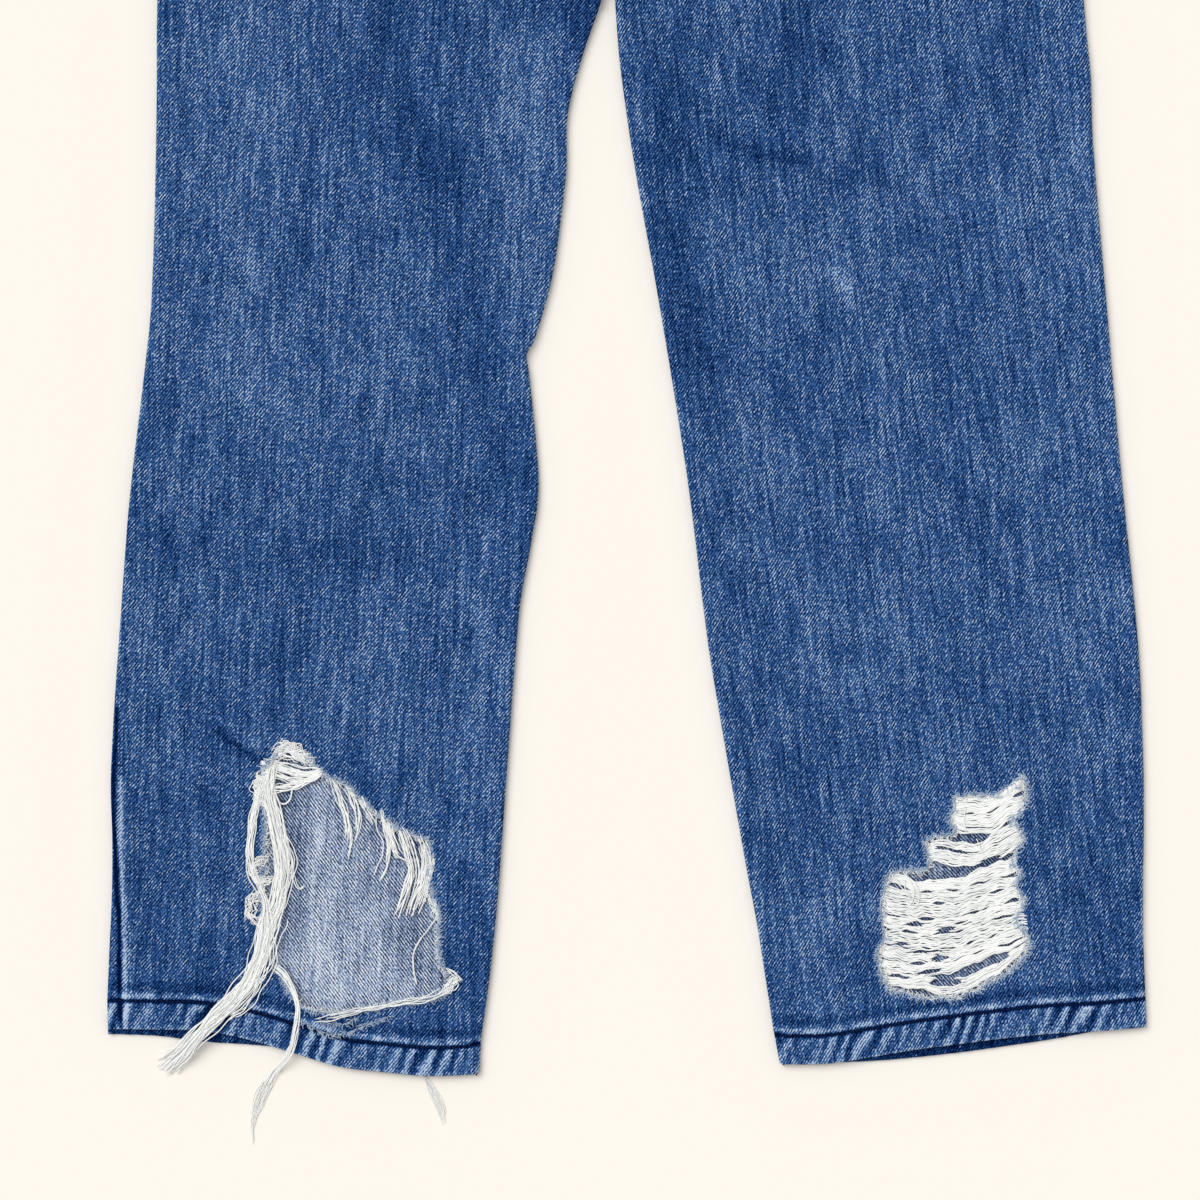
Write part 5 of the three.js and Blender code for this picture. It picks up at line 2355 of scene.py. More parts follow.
@dataclass
class LooseThreads:
    """Every loose thread of the tear on the right leg.

    Attributes:
        garment: The garment's own measure.
        wardrobe: The finishes.
        WISPS: The wisps of each thread node.
    """

    garment: Garment
    wardrobe: Wardrobe

    WISPS = {
        "threads_bundle": (
            Wisp(
                ((-200, 188, 3.4, 6), (-203, 171, 3.4, 8), (-199.5, 153, 2.8, 9), (-195.4, 126, 2.2, 10),
                 (-198.4, 105, 2.4, 11), (-205, 87, 4.0, 12), (-209.8, 69, 4.6, 12), (-216, 54, 5.6, 12),
                 (-230.4, 39, 6.4, 12), (-246, 23.5, 6.4, 12), (-253, 15.5, 4.2, 14), (-259, 9.5, 1.6, 15),
                 (-268.2, 1, 0.2, 17)),
                count=34, radius=0.42, depth=2.2, drift=1.0, ragged=0.06, wave=38.0, seed=3,
            ),
            Wisp(
                ((-198, 100, 3.4, 12), (-203, 84, 4.8, 15), (-207, 66, 5.6, 17), (-217, 50, 6.6, 18),
                 (-233, 34, 6.8, 15)),
                count=9, radius=0.36, depth=1.4, drift=1.4, ragged=0.2, wave=26.0, seed=4,
            ),
            Wisp(
                ((-205, 184, 3.6, 4), (-210, 168, 3.8, 5), (-215.5, 140, 4.2, 6), (-213, 120, 3.6, 6),
                 (-206, 104, 3.6, 6), (-205.5, 90, 4.6, 7), (-212, 66, 5.4, 8), (-228, 44, 6.6, 8),
                 (-242, 30, 6.6, 6)),
                count=12, radius=0.4, depth=1.6, drift=1.1, ragged=0.1, wave=40.0, seed=5,
            ),
            Wisp(
                ((-196, 150, 3, 5), (-191, 128, 2.6, 6), (-194, 108, 2.8, 5), (-202, 92, 4.2, 5)),
                count=7, radius=0.36, depth=1.4, drift=1.2, ragged=0.08, seed=8,
            ),
        ),
        "threads_branch": (
            Wisp(
                ((-200, 66, 4.6, 4), (-193, 59, 5.4, 4), (-187.4, 47, 6.1, 3), (-186.2, 34, 6.4, 3),
                 (-190.4, 16, 6.4, 4), (-196, 7, 3.6, 4), (-201, 1, 0.9, 5), (-206, -8, 0.2, 7)),
                count=8, radius=0.38, depth=1.0, drift=0.5, ragged=0.05, seed=11,
            ),
            Wisp(
                ((-201, 3, 0.6, 3), (-205.5, -7, 0.2, 8), (-209, -16, 0.2, 9), (-212, -24, 0.2, 6),
                 (-213.8, -32, 0.2, 3), (-213.4, -41.5, 0.2, 1)),
                count=24, radius=0.16, depth=0.5, drift=0.6, ragged=0.4, seed=12,
            ),
        ),
        "threads_lower_edge": (
            Wisp(
                ((-94.5, 57, 6, 3), (-99, 51, 6, 4), (-108, 47, 6, 3), (-122, 44.4, 6, 3), (-148, 40, 6, 3),
                 (-165, 36, 6.0, 3), (-181, 33.5, 6.2, 5)),
                count=5, radius=0.32, depth=0.8, drift=0.9, ragged=0.2, seed=15,
            ),
            Wisp(
                ((-90.5, 60, 6, 4), (-94, 55, 6, 6), (-99.5, 50, 6, 3)),
                count=12, radius=0.3, depth=1.0, drift=1.4, ragged=0.3, wave=8.0, seed=16,
            ),
        ),
        "threads_hem_wisp": (
            Wisp(
                ((-112, 0.4, 0.3, 1.5), (-109, -4, 0.2, 4), (-105.6, -11, 0.2, 6), (-101.6, -20, 0.2, 6),
                 (-99, -30, 0.2, 2)),
                count=20, radius=0.15, depth=0.5, drift=0.5, ragged=0.3, seed=18,
            ),
        ),
        "threads_tear_fringe": (
            Wisp(
                ((-209, 187, 3.4, 8), (-200, 184, 3.4, 12), (-190, 181, 3.4, 13), (-180, 180, 3.4, 10),
                 (-171, 182, 3.4, 5)),
                count=24, radius=0.38, depth=1.2, drift=0.6, ragged=0.12, wave=18.0, seed=21,
            ),
            Wisp(
                ((-209, 179, 3.4, 5), (-201, 172.5, 3.2, 6), (-190, 173, 3.2, 6), (-181, 176.5, 3.3, 5),
                 (-172, 182, 3.4, 3)),
                count=11, radius=0.36, depth=1.0, drift=0.7, ragged=0.12, wave=18.0, seed=22,
            ),
            Wisp(
                ((-203, 189, 3.6, 7), (-196, 194, 3.8, 10), (-188, 192, 3.8, 9), (-180, 187, 3.6, 6)),
                count=20, radius=0.34, depth=1.2, drift=1.0, ragged=0.35, wave=12.0, seed=23,
            ),
            Wisp(
                ((-201, 172, 3.0, 1.5), (-198, 165, 2.8, 1.5), (-194.5, 163, 2.8, 1.5), (-191, 166, 2.8, 1.5),
                 (-189.5, 173, 3.0, 1.5)),
                count=3, drift=0.4, depth=0.5, seed=24,
            ),
            Wisp(
                ((-166, 180, 3.4, 4), (-162, 170, 3.2, 5), (-157, 157, 2.6, 5), (-155, 142, 2.1, 6),
                 (-157, 128, 1.9, 6)),
                count=8, radius=0.36, drift=0.8, depth=1.0, ragged=0.35, seed=25,
            ),
            Wisp(
                ((-159, 176, 3.4, 4), (-153, 166, 3.1, 4), (-150, 152, 2.5, 5), (-152, 139, 2.0, 5)),
                count=7, radius=0.36, drift=0.8, depth=1.0, ragged=0.3, seed=26,
            ),
            Wisp(
                ((-150, 168, 3.4, 4), (-145, 158, 3.2, 4), (-141, 149, 2.6, 5)),
                count=6, radius=0.34, drift=0.8, depth=0.8, ragged=0.3, seed=27,
            ),
            Wisp(
                ((-138, 160, 3.4, 4), (-136, 150, 3.1, 5), (-133, 138, 2.5, 5), (-136, 124, 2.0, 6),
                 (-140, 117, 1.9, 6)),
                count=8, radius=0.36, drift=0.9, depth=1.2, ragged=0.35, seed=28,
            ),
            Wisp(
                ((-132, 154, 3.4, 3), (-129, 142, 3.0, 5), (-126, 133, 2.6, 6), (-120, 129, 2.2, 6)),
                count=8, radius=0.36, drift=0.9, depth=1.0, ragged=0.3, seed=29,
            ),
            Wisp(
                ((-125, 150, 3.4, 4), (-121, 139, 3.3, 6), (-117, 124, 2.9, 7), (-121, 106, 2.3, 9),
                 (-127, 92, 1.9, 9)),
                count=13, radius=0.38, drift=0.8, depth=1.6, ragged=0.3, seed=30,
            ),
            Wisp(
                ((-113, 144, 3.4, 4), (-110, 132, 3.3, 6), (-111, 118, 2.9, 7), (-116, 102, 2.3, 8),
                 (-121, 90, 1.9, 8)),
                count=13, radius=0.38, drift=0.8, depth=1.6, ragged=0.3, seed=31,
            ),
            Wisp(
                ((-107, 133, 3.4, 3), (-107, 122, 3.1, 4), (-112, 108, 2.5, 6), (-112, 97, 2.0, 6)),
                count=7, radius=0.36, drift=0.8, depth=1.2, ragged=0.3, seed=32,
            ),
            Wisp(
                ((-108, 108, 3.4, 5), (-104, 100, 3.3, 6), (-103, 93, 3.2, 5)),
                count=10, radius=0.26, drift=1.4, depth=1.0, ragged=0.4, wave=8.0, seed=38,
            ),
            Wisp(
                ((-102.6, 95, 3.2, 1), (-109, 86, 2.6, 1), (-116.4, 75, 2.2, 1), (-117.4, 66, 2.0, 1),
                 (-114.6, 54, 2.4, 1)),
                count=2, drift=0.4, depth=0.4, seed=33,
            ),
            Wisp(
                ((-190.2, 123, 2.6, 1.5), (-187.4, 115, 2.2, 1.5), (-185, 112.4, 2.0, 1.2),
                 (-183, 114, 2.0, 1)),
                count=2, drift=0.3, depth=0.4, seed=34,
            ),
            Wisp(
                ((-203, 131, 3.2, 5), (-209, 128, 4.2, 7), (-212, 121, 4.2, 6), (-206, 117, 3.6, 5),
                 (-202, 121, 3.2, 4)),
                count=12, radius=0.3, drift=1.6, depth=1.2, ragged=0.4, wave=8.0, seed=35,
            ),
            Wisp(
                ((-205, 110, 3.2, 5), (-212, 107, 4.2, 7), (-215, 99, 4.2, 7), (-211, 92, 4.0, 6),
                 (-205, 92, 3.6, 4)),
                count=14, radius=0.3, drift=1.6, depth=1.2, ragged=0.4, wave=8.0, seed=36,
            ),
            Wisp(
                ((-206, 182, 3.6, 6), (-210, 176, 4.0, 8), (-209, 166, 4.0, 6), (-205, 160, 3.6, 4)),
                count=14, radius=0.28, drift=1.8, depth=1.4, ragged=0.4, wave=8.0, seed=39,
            ),
            Wisp(
                ((-198, 199, 3.6, 5), (-191, 198, 3.8, 8), (-183, 193, 3.8, 8), (-176, 187, 3.6, 6)),
                count=16, radius=0.28, drift=1.8, depth=1.4, ragged=0.4, wave=8.0, seed=40,
            ),
            Wisp(
                ((-98, 64, 4.6, 3), (-93, 61, 5.6, 4), (-89, 56, 6.0, 3)),
                count=6, radius=0.28, drift=1.0, depth=0.8, ragged=0.4, seed=37,
            ),
        ),
    }

    def build(self) -> dict[str, Piece]:
        """Makes each group of threads.

        Returns:
            The pieces by their nodes.
        """
        made = {}
        for node, wisps in self.WISPS.items():
            parts = MeshParts()
            for wisp in wisps:
                wisp.add_to(parts, self.garment)
            piece = parts.build(f"{node}_yarn", [self.wardrobe.thread])
            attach(piece, "root")
            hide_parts(node)
            report(piece)
            made[node] = piece
        return made


@dataclass(frozen=True)
class WeftGroup:
    """A group of bared weft threads between two lines across the worn patch.

    Attributes:
        lower: Its lower edge's stops as width and length on the garment, in millimetres.
        upper: Its upper edge's stops.
    """

    lower: Route
    upper: Route


@dataclass
class WornPatch:
    """The patch where the warp has worn away and the white weft lies bare.

    Attributes:
        garment: The garment's own measure.
        wardrobe: The finishes.
        pitch: How far apart the threads lie, in millimetres.
        radius: A thread's radius, in millimetres.
        stray_radius: A stray thread's radius, in millimetres.
        seed: The seed of its chance.
        GROUPS: The groups of weft, from the foot up.
        GAPS: Where the weft has worn through too: width and length on the garment, half width and half
            height, all in millimetres, and slope.
        STRAYS: Single threads across the weft, by width, length and height in millimetres.
        SIDES: How many sides a weft thread has, and how many a stray has.
        FLATTEN: A weft thread's height as a share of its width.
    """

    garment: Garment
    wardrobe: Wardrobe
    pitch: float = 0.87
    radius: float = 0.48
    stray_radius: float = 0.3
    seed: int = 41

    SIDES = (6, 5)
    FLATTEN = 0.8

    GROUPS = (
        WeftGroup(
            ((166, 54), (184, 52), (198, 48.5), (208, 47.5), (222, 55), (239, 66), (250, 76)),
            ((164, 61), (178, 58), (194, 59), (208, 58.5), (222, 62.5), (238, 72.5), (252, 82)),
        ),
        WeftGroup(
            ((164, 61), (180, 58), (195, 59.5), (210, 64), (225, 70), (240, 76), (253, 81)),
            ((161, 71), (185, 67), (205, 69), (222, 74), (240, 79), (254, 84)),
        ),
        WeftGroup(
            ((161, 71), (185, 67.5), (205, 69.5), (222, 74.5), (240, 80), (254, 84)),
            ((161, 80), (185, 76), (208, 77), (225, 82), (240, 87), (254, 90)),
        ),
        WeftGroup(
            ((161, 80.5), (185, 76.5), (208, 77.5), (225, 82.5), (240, 87), (254, 90)),
            ((162, 89), (185, 85), (208, 86), (225, 91), (240, 96), (252, 98)),
        ),
        WeftGroup(
            ((162, 89.5), (185, 85.5), (208, 86.5), (225, 91.5), (240, 96.5), (252, 98)),
            ((162, 98), (185, 94), (208, 95), (225, 100), (240, 105), (250, 107)),
        ),
        WeftGroup(
            ((162, 98.5), (185, 94.5), (208, 95.5), (225, 100.5), (240, 105), (250, 107)),
            ((163, 107), (185, 103), (208, 103.5), (225, 108), (240, 113), (248, 115)),
        ),
        WeftGroup(
            ((163, 107), (185, 103.5), (208, 104), (225, 108.5), (240, 113.5), (248, 115)),
            ((165, 115), (185, 110.5), (208, 111.5), (225, 116), (240, 120), (248, 122)),
        ),
        WeftGroup(
            ((166, 117), (185, 111), (208, 112), (225, 116.5), (240, 120.5), (248, 122)),
            ((168, 122), (186, 117), (208, 118.5), (223, 124), (235, 129), (247, 134)),
        ),
        WeftGroup(
            ((190, 129), (205, 125.5), (218, 126), (227, 128.5), (237, 131.5), (249, 137)),
            ((190, 140), (199, 141), (218, 139.5), (227, 143), (238, 150), (248, 154)),
        ),
        WeftGroup(
            ((204, 147), (213, 145.5), (224, 145.5), (231, 146.5), (239, 151.5), (248, 156)),
            ((203, 158), (213, 157), (226, 157.5), (233, 160), (241, 166), (249, 171)),
        ),
        WeftGroup(
            ((203, 158), (213, 157.5), (226, 158), (233, 160.5), (241, 166.5), (249, 171)),
            ((206, 168.5), (214, 167.5), (229, 167.5), (235, 170), (242, 176), (249, 180)),
        ),
    )
    GAPS = (
        (219, 142.5, 9, 1.9, 0.0), (205, 122.8, 14, 3.0, 0.08), (227, 128.8, 7, 1.7, 0.5),
        (206, 135.2, 9, 0.9, -0.2), (183.5, 90.8, 5, 1.3, 0.05), (202, 87.6, 4.5, 1.5, 0.2),
        (211, 92, 3.5, 0.7, 0.2), (175, 79, 4, 0.8, 0.0), (190, 74.5, 15, 0.6, 0.05),
        (198, 70.6, 5, 1.4, 0.1), (192, 62.6, 7, 1.3, 0.15), (174, 59.5, 6, 0.8, -0.1),
        (223, 65.9, 16, 2.2, 0.36), (201.5, 56, 9, 2.4, 0.05), (222, 148.6, 9, 0.5, 0.0),
    )
    STRAYS = (
        ((177, 117, 4.3), (177.5, 111, 4.5), (181, 105, 4.5), (184, 101, 4.2)),
        ((180, 117, 4.3), (182.5, 112, 4.6), (182, 106, 4.5), (180, 102, 4.2)),
        ((183, 116, 4.3), (185.5, 110, 4.6), (185, 103, 4.4), (181, 99.5, 4.2)),
        ((213.5, 160, 4.2), (212.5, 153, 4.4), (214, 146, 4.2)),
        ((171, 119, 4.2), (175, 113, 4.5), (181, 108, 4.4), (189, 105, 4.1)),
        ((220, 142, 4.2), (226, 131, 4.4), (239, 138, 4.4), (247, 147, 4.2)),
        ((206, 55, 4.0), (216, 50, 4.3), (226, 57, 4.3), (235, 62, 4.1)),
        ((216, 55, 4.1), (224, 53, 4.4), (217, 48.5, 4.3), (209, 47, 4.0)),
    )

    def build(self) -> Piece:
        """Makes the bared weft and the strays across it.

        Returns:
            The finished piece.
        """
        rng = np.random.default_rng(self.seed)
        parts = MeshParts()
        for group in self.GROUPS:
            self.add_group(parts, group, rng)
        for stops in self.STRAYS:
            path = curve_through(self.garment.place(stops), 0.001)
            parts.add_tube(tube(path, self.stray_radius * MM, self.SIDES[1]))
        piece = parts.build("threads_worn_patch_yarn", [self.wardrobe.thread])
        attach(piece, "root")
        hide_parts("threads_worn_patch")
        report(piece)
        return piece

    def add_group(self, parts: MeshParts, group: WeftGroup, rng: np.random.Generator) -> None:
        """Adds one group of weft threads.

        Args:
            parts: Where they go.
            group: The group.
            rng: The source of chance.
        """
        lower = resampled(curve_through(group.lower, 1.0), 1.0)
        upper = resampled(curve_through(group.upper, 1.0), 1.0)
        count = max(len(lower), len(upper))
        shares = np.linspace(0, 1, count)
        lower, upper = (
            np.stack([np.interp(shares, np.linspace(0, 1, len(line)), line[:, k]) for k in range(2)], axis=1)
            for line in (lower, upper)
        )
        height = np.linalg.norm(upper - lower, axis=1).max()
        threads = max(int(round(height / self.pitch)), 2)
        lengths = shares * np.linalg.norm(lower[-1] - lower[0])
        together = wander(rng, lengths, 0.9, 17.0)
        bunch = 1.0 - 0.26 * smoothstep(shares, 0.78, 1.0) - 0.1 * smoothstep(1.0 - shares, 0.86, 1.0)
        for k in range(threads):
            place = 0.5 + ((k + 0.5) / threads - 0.5) * bunch + rng.normal(0, 0.014)
            plan = lower + (upper - lower) * place[:, None]
            drift = together + wander(rng, lengths, 0.3, 11.0)
            z = 3.4 + 0.2 * rng.normal() + wander(rng, lengths, 0.3, 24.0)
            path = np.column_stack([plan[:, 0], plan[:, 1] + drift, np.clip(z, 2.2, 4.5)])
            path[:, 2] -= 1.6 * (1.0 - smoothstep(np.minimum(lengths, lengths[::-1]), 0.0, 5.0))
            for stretch in self.whole_stretches(path, rng):
                self.add_thread(parts, stretch, rng)

    def whole_stretches(self, path: Points, rng: np.random.Generator) -> list[Points]:
        """Cuts a thread where the patch has worn right through.

        Args:
            path: The thread's path in millimetres.
            rng: The source of chance.

        Returns:
            The stretches that are left.
        """
        broken = np.zeros(len(path), bool)
        for x, y, half_width, half_height, slope in self.GAPS:
            size = rng.uniform(0.75, 1.2)
            across = path[:, 0] - x
            rise = path[:, 1] - y - slope * across
            broken |= (across / half_width) ** 2 + (rise / half_height) ** 2 < size
        stretches, start = [], None
        for k, gone in enumerate([*broken, True]):
            if not gone and start is None:
                start = k
            if gone and start is not None:
                if k - start > 3:
                    stretches.append(path[start:k])
                start = None
        return stretches

    def add_thread(self, parts: MeshParts, path: Points, rng: np.random.Generator) -> None:
        """Adds one thread.

        Args:
            parts: Where it goes.
            path: Its places in millimetres.
            rng: The source of chance.
        """
        taper = np.minimum(1.0, 0.5 + from_ends(len(path)) / 3.0)
        radius = self.radius * MM * rng.uniform(0.8, 1.15) * taper
        thread = tube(self.garment.place(path), radius, self.SIDES[0], flatten=self.FLATTEN)
        parts.add_tube(thread, 0, rng.uniform(-0.12, 0.12))


@dataclass
class Trimmings:
    """Stitching rows and the fluff of torn edges.

    Attributes:
        panels: The cloth that they lie on.
        wardrobe: The finishes.
        tree: Lays shapes along lines.
        stitch: One stitch, in whole units.
        hair: One curled hair, in whole units.
        FRAYED_FLAP: Worn lines below the tear, in millimetres on the garment.
        FLY: The fly row's stops, and how far each moves out and down with the inset.
        FLY_ROWS: The fly rows' insets, in millimetres.
        POCKET_ROWS: The insets of the rows along a front pocket's mouth.
        YOKE_ROWS: The insets of the rows below a yoke seam.
        BACK_POCKET_ROWS: The inset of the row round a back pocket.
        SINK: How deep stitches sit in the cloth.
    """

    FRAYED_FLAP = (
        ((-188, 37), (-180, 31), (-170, 26), (-158, 26), (-145, 31), (-131, 36)),
        ((-172, 33), (-160, 31), (-150, 35)),
    )
    FLY = ((8, 864, 1, 0), (7, 800, 1, 0), (6, 752, 1, 0), (3, 726, 0.7, 0), (4, 712, 0, 0.1))
    FLY_ROWS = (38, 32)
    POCKET_ROWS = (0.002, 0.008)
    YOKE_ROWS = (0.002, 0.007)
    BACK_POCKET_ROWS = (0.002,)
    SINK = 0.0001

    panels: Panels
    wardrobe: Wardrobe
    tree: AlongLines = field(init=False)
    stitch: Piece = field(init=False)
    hair: Piece = field(init=False)

    def __post_init__(self) -> None:
        """Makes the tree and the small shapes it lays."""
        self.tree = AlongLines("shapes_along_lines")
        line = np.column_stack([np.linspace(-1, 1, 7), np.zeros(7), np.zeros(7)])
        radius = 0.5 * np.sqrt(np.maximum(1 - np.linspace(-0.97, 0.97, 7) ** 2, 0))
        self.stitch = self.small_shape("stitch_shape", line * 0.5, radius)
        bend = np.linspace(0, 1, 7)
        hair = np.column_stack([0.35 * np.sin(bend * 2.6), bend, 0.12 * np.sin(bend * 3.1)])
        self.hair = self.small_shape("hair_shape", hair, 0.085 * (1.0 - 0.4 * bend))

    def small_shape(self, name: str, path: Points, radius: Points) -> Piece:
        """Makes one small shape, in whole units.

        Args:
            name: The shape's name.
            path: The line it runs along.
            radius: Its radius along the line.

        Returns:
            The shape, which isn't shown.
        """
        parts = MeshParts()
        parts.add_tube(tube(path, radius, 5))
        shape = parts.build(name, [])
        shape.hide_render = True
        return shape

    def finish(self, mesh: bpy.types.Mesh, slot: str) -> Piece:
        """Puts a laid mesh into the scene as a piece.

        Args:
            mesh: The mesh.
            slot: The name of its finish. Not used.

        Returns:
            The piece.
        """
        piece = in_scene(mesh.name, mesh)
        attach(piece, "root")
        report(piece)
        return piece

    def stitches(self, name: str, lines: Sequence[Points], spacing: float = 0.0031) -> Piece:
        """Lays rows of stitches.

        Args:
            name: The piece's name.
            lines: The rows' places.
            spacing: From one stitch to the next.

        Returns:
            The finished rows.
        """
        mesh = self.tree.lay(
            name,
            lines,
            shape=self.stitch,
            spacing=spacing,
            least_turn=(0.0, 0.0, -0.12),
            most_turn=(0.0, 0.0, 0.12),
            least_size=(spacing * 0.85, 0.0009, 0.0008),
            most_size=(spacing * 0.98, 0.0012, 0.001),
            seed=5,
            finish=self.wardrobe.stitch,
        )
        return self.finish(mesh, "threads")

    def fluff(
        self,
        name: str,
        lines: Sequence[Points],
        spacing: float,
        length: tuple[float, float],
        swing: tuple[float, float],
        material: Material,
        seed: int,
    ) -> Piece:
        """Lays curled hairs along lines.

        Args:
            name: The piece's name.
            lines: The torn edges' places.
            spacing: From one hair to the next.
            length: The shortest and the longest hair.
            swing: The least and the most turn from the left of the line, in radians.
            material: The hairs' finish.
            seed: The seed of their chance.

        Returns:
            The finished fluff.
        """
        mesh = self.tree.lay(
            name,
            lines,
            shape=self.hair,
            spacing=spacing,
            least_turn=(0.02, -0.6, swing[0]),
            most_turn=(0.42, 0.6, swing[1]),
            least_size=(length[0],) * 3,
            most_size=(length[1],) * 3,
            seed=seed,
            finish=material,
        )
        return self.finish(mesh, "threads")

    def hem_row(self, node: str) -> list[Points]:
        """Finds the row of stitches that holds a panel's hem.

        Args:
            node: The panel.

        Returns:
            The rows.
        """
        cloth = self.panels.cloth[node]
        rows = []
        for line in cloth.edges[EdgeKind.HEM]:
            fold = resampled(curve_through(line, HEM_STEP), ROUTE_STEP)
            route = offset_line(fold, cloth.stack.hem_depth)
            from_fold = nearest_on_lines(route, cloth.edges[EdgeKind.ROLL])[0]
            trimmed = route[cloth.in_cloth(route) & (from_fold > 0.0015)]
            rows.append(self.panels.on_cloth(node, trimmed, sink=self.SINK))
        return rows

    def seam_rows(self, node: str, insets: Sequence[float], keep: Callable[[Points], Points]) -> list[Points]:
        """Finds rows of stitches beside a panel's sewn edges.

        Args:
            node: The panel.
            insets: How far inside the edge each row runs.
            keep: Says which of its places to keep.

        Returns:
            The rows.
        """
        cloth = self.panels.cloth[node]
        rows = []
        for inset in insets:
            for line in cloth.edges[EdgeKind.SEAM]:
                route = offset_line(resampled(line, ROUTE_STEP), inset)
                chosen = cloth.in_cloth(route) & keep(route)
                if chosen.sum() > 3:
                    rows.append(self.panels.on_cloth(node, route[chosen], sink=self.SINK))
        return rows

    def mouth_rows(self, front: str, side: Side) -> list[Points]:
        """Finds the double row along a front pocket's mouth.

        Args:
            front: The front panel.
            side: Which half it belongs to.

        Returns:
            The rows.
        """
        garment = self.panels.garment

        def at_mouth(route: Points) -> Points:
            """Keeps the places along the mouth.

            Args:
                route: The row's places.

            Returns:
                True for each place to keep.
            """
            length = garment.length_at(route[:, 1])
            outside = side.sign * (route[:, 0] - garment.centre) > 0.105
            return outside & (length > 0.79) & (length < 0.873)

        return self.seam_rows(front, self.POCKET_ROWS, at_mouth)

    def fly_rows(self) -> list[Points]:
        """Finds the curved rows that hold the fly's facing on the left front.

        Returns:
            The rows.
        """
        rows = []
        for inset in self.FLY_ROWS:
            stops = [(x + inset * out, y - inset * down) for x, y, out, down in self.FLY]
            route = curve_through(self.panels.garment.place(stops), ROUTE_STEP)
            rows.append(self.panels.on_cloth("front_left", route, sink=self.SINK))
        return rows

    def build(self, waistband: Waistband) -> dict[str, list[Piece]]:
        """Lays every row and every torn edge's fluff.

        Args:
            waistband: The band, for its own rows.

        Returns:
            The pieces by the node of the cloth that they go with.
        """
        made: dict[str, list[Piece]] = {}
        for side in Side:
            front, back, pocket = f"front_{side.value}", f"back_{side.value}", f"back_pocket_{side.value}"
            fly = self.fly_rows() if side is Side.LEFT else []
            rows = {
                front: self.hem_row(front) + self.mouth_rows(front, side) + fly,
                back: self.hem_row(back) + self.yoke_rows(back),
                pocket: self.seam_rows(pocket, self.BACK_POCKET_ROWS, self.everywhere),
            }
            for node, lines in rows.items():
                made[node] = [self.stitches(f"{node}_stitching", lines)]
        made["waistband"] = [self.stitches("waistband_stitching", waistband.stitch_lines())]
        made["front_right"] += self.torn_edge("front_right", 61, self.FRAYED_FLAP)
        made["front_left"] += self.torn_edge("front_left", 71)
        self.remove_shapes()
        return made

    def yoke_rows(self, back: str) -> list[Points]:
        """Finds the double row below the yoke seam.

        Args:
            back: The back panel.

        Returns:
            The rows.
        """
        garment = self.panels.garment

        def near_yoke(route: Points) -> Points:
            """Keeps the places along the yoke seam."""
            return garment.length_at(route[:, 1]) > 0.825

        return self.seam_rows(back, self.YOKE_ROWS, near_yoke)

    @staticmethod
    def everywhere(route: Points) -> Points:
        """Keeps every place of a row."""
        return np.full(len(route), True)

    def torn_edge(self, node: str, seed: int, frays: Sequence[Points] = ()) -> list[Piece]:
        """The fluff round a hole: white hairs into it and dyed curls over the cloth round it.

        Args:
            node: The torn panel.
            seed: The seed of their chance.
            frays: More worn lines on the panel where dyed fluff stands up, in millimetres.

        Returns:
            The white fluff and the dyed fluff.
        """
        cloth = self.panels.cloth[node]
        torn = [closed(hole) for hole in cloth.holes]
        worn = [curve_through(cloth.garment.place(line), HEM_STEP) for line in frays]
        loops, edges = (
            [self.panels.on_cloth(node, line, sink=-self.SINK) for line in lines] for lines in (torn, worn)
        )
        both = loops + edges
        white, blue = self.wardrobe.thread, self.wardrobe.blue_fluff
        return [
            self.fluff(f"{node}_white_fluff", loops, 0.00065, (0.0016, 0.0036), (-1.9, 1.9), white, seed),
            self.fluff(f"{node}_dyed_fluff", both, 0.0006, (0.002, 0.0046), (1.3, 5.0), blue, seed + 1),
        ]

    def remove_shapes(self) -> None:
        """Takes the small shapes out of the scene again."""
        for shape in (self.stitch, self.hair):
            bpy.data.objects.remove(shape)


# Studio
# ---------------------------------------


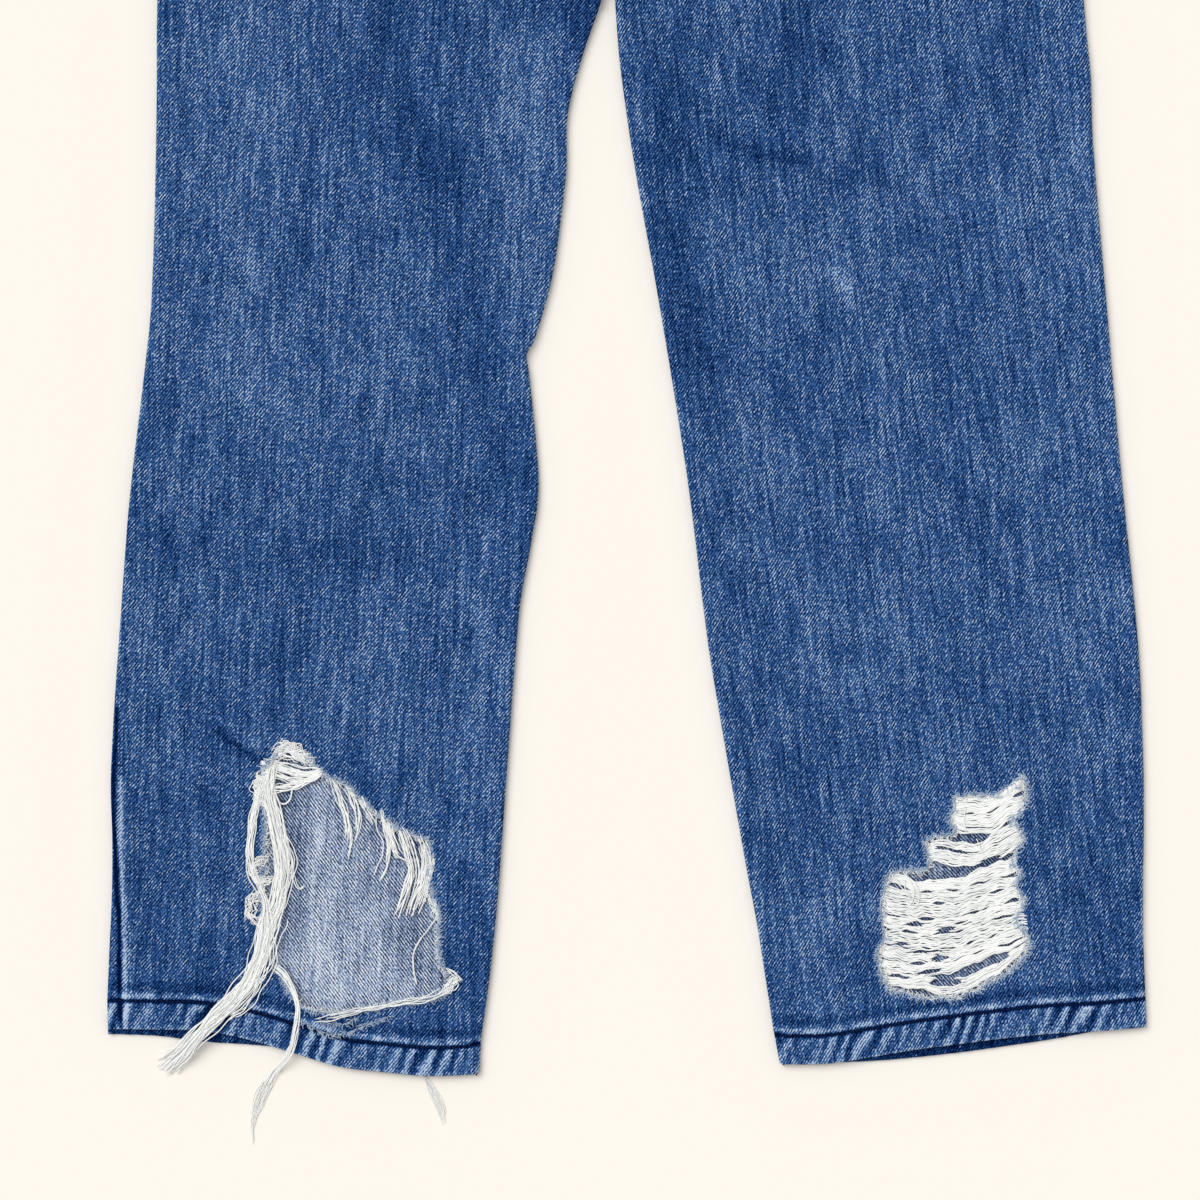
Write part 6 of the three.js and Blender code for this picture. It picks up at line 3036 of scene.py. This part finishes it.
@dataclass
class Studio:
    """A plain pale floor, a large soft light overhead and a camera straight above the lower legs.

    Attributes:
        lens: The camera's focal length, in millimetres.
        sensor: The width of its picture plane, in millimetres.
        distance: How high the camera stands.
        aim: Where it looks, from the right front panel's lowest corner.
        key_strength: How strong the soft light is.
        fill_strength: How bright the surroundings are.
        light_from: Which way the soft light stands.
        light_size: How wide the soft light looks, in radians.
        half_floor: Half the floor's width.
        floor_drop: How far the floor lies below the jeans.
        floor_colour: The floor's colour.
    """

    lens: float = 100.0
    sensor: float = 36.0
    distance: float = 2.0
    aim: tuple[float, float] = (0.2952, 0.285)
    key_strength: float = 1.78
    fill_strength: float = 0.6
    light_from: tuple[float, float, float] = (-0.5, 0.45, 0.85)
    light_size: float = 0.7
    half_floor: float = 3.0
    floor_drop: float = 0.0002
    floor_colour: Colour = paint(250, 244, 235)

    def build(self) -> None:
        """Sets up the floor, the light and the camera."""
        self.floor()
        self.light()
        self.camera()
        bpy.context.scene.view_settings.view_transform = "Standard"

    def floor(self) -> None:
        """Makes the pale surface that the jeans lie on."""
        mesh = bpy.data.meshes.new("floor")
        half = self.half_floor
        corners = [(-half, -half, 0), (half, -half, 0), (half, half, 0), (-half, half, 0)]
        mesh.from_pydata(corners, [], [(0, 1, 2, 3)])
        floor = in_scene("floor", mesh)
        floor.location = (0.0, 0.0, -self.floor_drop)
        shader = Shader("floor_paper")
        shader.set(Base_Color=self.floor_colour, Roughness=1.0, Specular_IOR_Level=0.0)
        mesh.materials.append(shader.material)

    def light(self) -> None:
        """Sets the large soft light at the upper left and the white surroundings."""
        data = bpy.data.lights.new("soft_light", "SUN")
        data.energy = self.key_strength
        data.angle = self.light_size
        lamp = in_scene("soft_light", data)
        lamp.rotation_mode = "QUATERNION"
        lamp.rotation_quaternion = (-Vector(self.light_from)).to_track_quat("-Z", "Y")
        world = bpy.data.worlds.new("surroundings")
        world.use_nodes = True
        background = world.node_tree.nodes["Background"]
        background.inputs["Color"].default_value = (1.0, 1.0, 1.0, 1.0)
        background.inputs["Strength"].default_value = self.fill_strength
        bpy.context.scene.world = world

    def camera(self) -> None:
        """Stands the camera above the legs, looking straight down."""
        data = bpy.data.cameras.new("camera")
        data.lens = self.lens
        data.sensor_width = self.sensor
        camera = in_scene("camera", data)
        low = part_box("front_right")[0]
        camera.location = (low.x + self.aim[0], low.y + self.aim[1], self.distance)
        bpy.context.scene.camera = camera


def main() -> None:
    """Builds the jeans in order and reports each piece."""
    logging.basicConfig(level=logging.INFO, format="%(message)s")
    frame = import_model()
    garment = Garment.from_frame()
    stack = Stack()
    wardrobe = Wardrobe()
    LOG.info("frame: %d nodes", len(frame["nodes"]))
    panels = Panels(garment, stack, wardrobe)
    panels.build()
    waistband = Waistband(garment, stack)
    band = waistband.build(wardrobe)
    BeltLoops(wardrobe).build()
    Zip(wardrobe).build()
    Button(wardrobe).build()
    threads = LooseThreads(garment, wardrobe).build()
    patch = WornPatch(garment, wardrobe).build()
    extras = Trimmings(panels, wardrobe).build(waistband)
    extras["front_right"] += list(threads.values())
    extras["front_left"].append(patch)
    panels.declare(extras)
    waistband.declare(band, extras["waistband"])
    Studio().build()


if __name__ == "__main__":
    main()
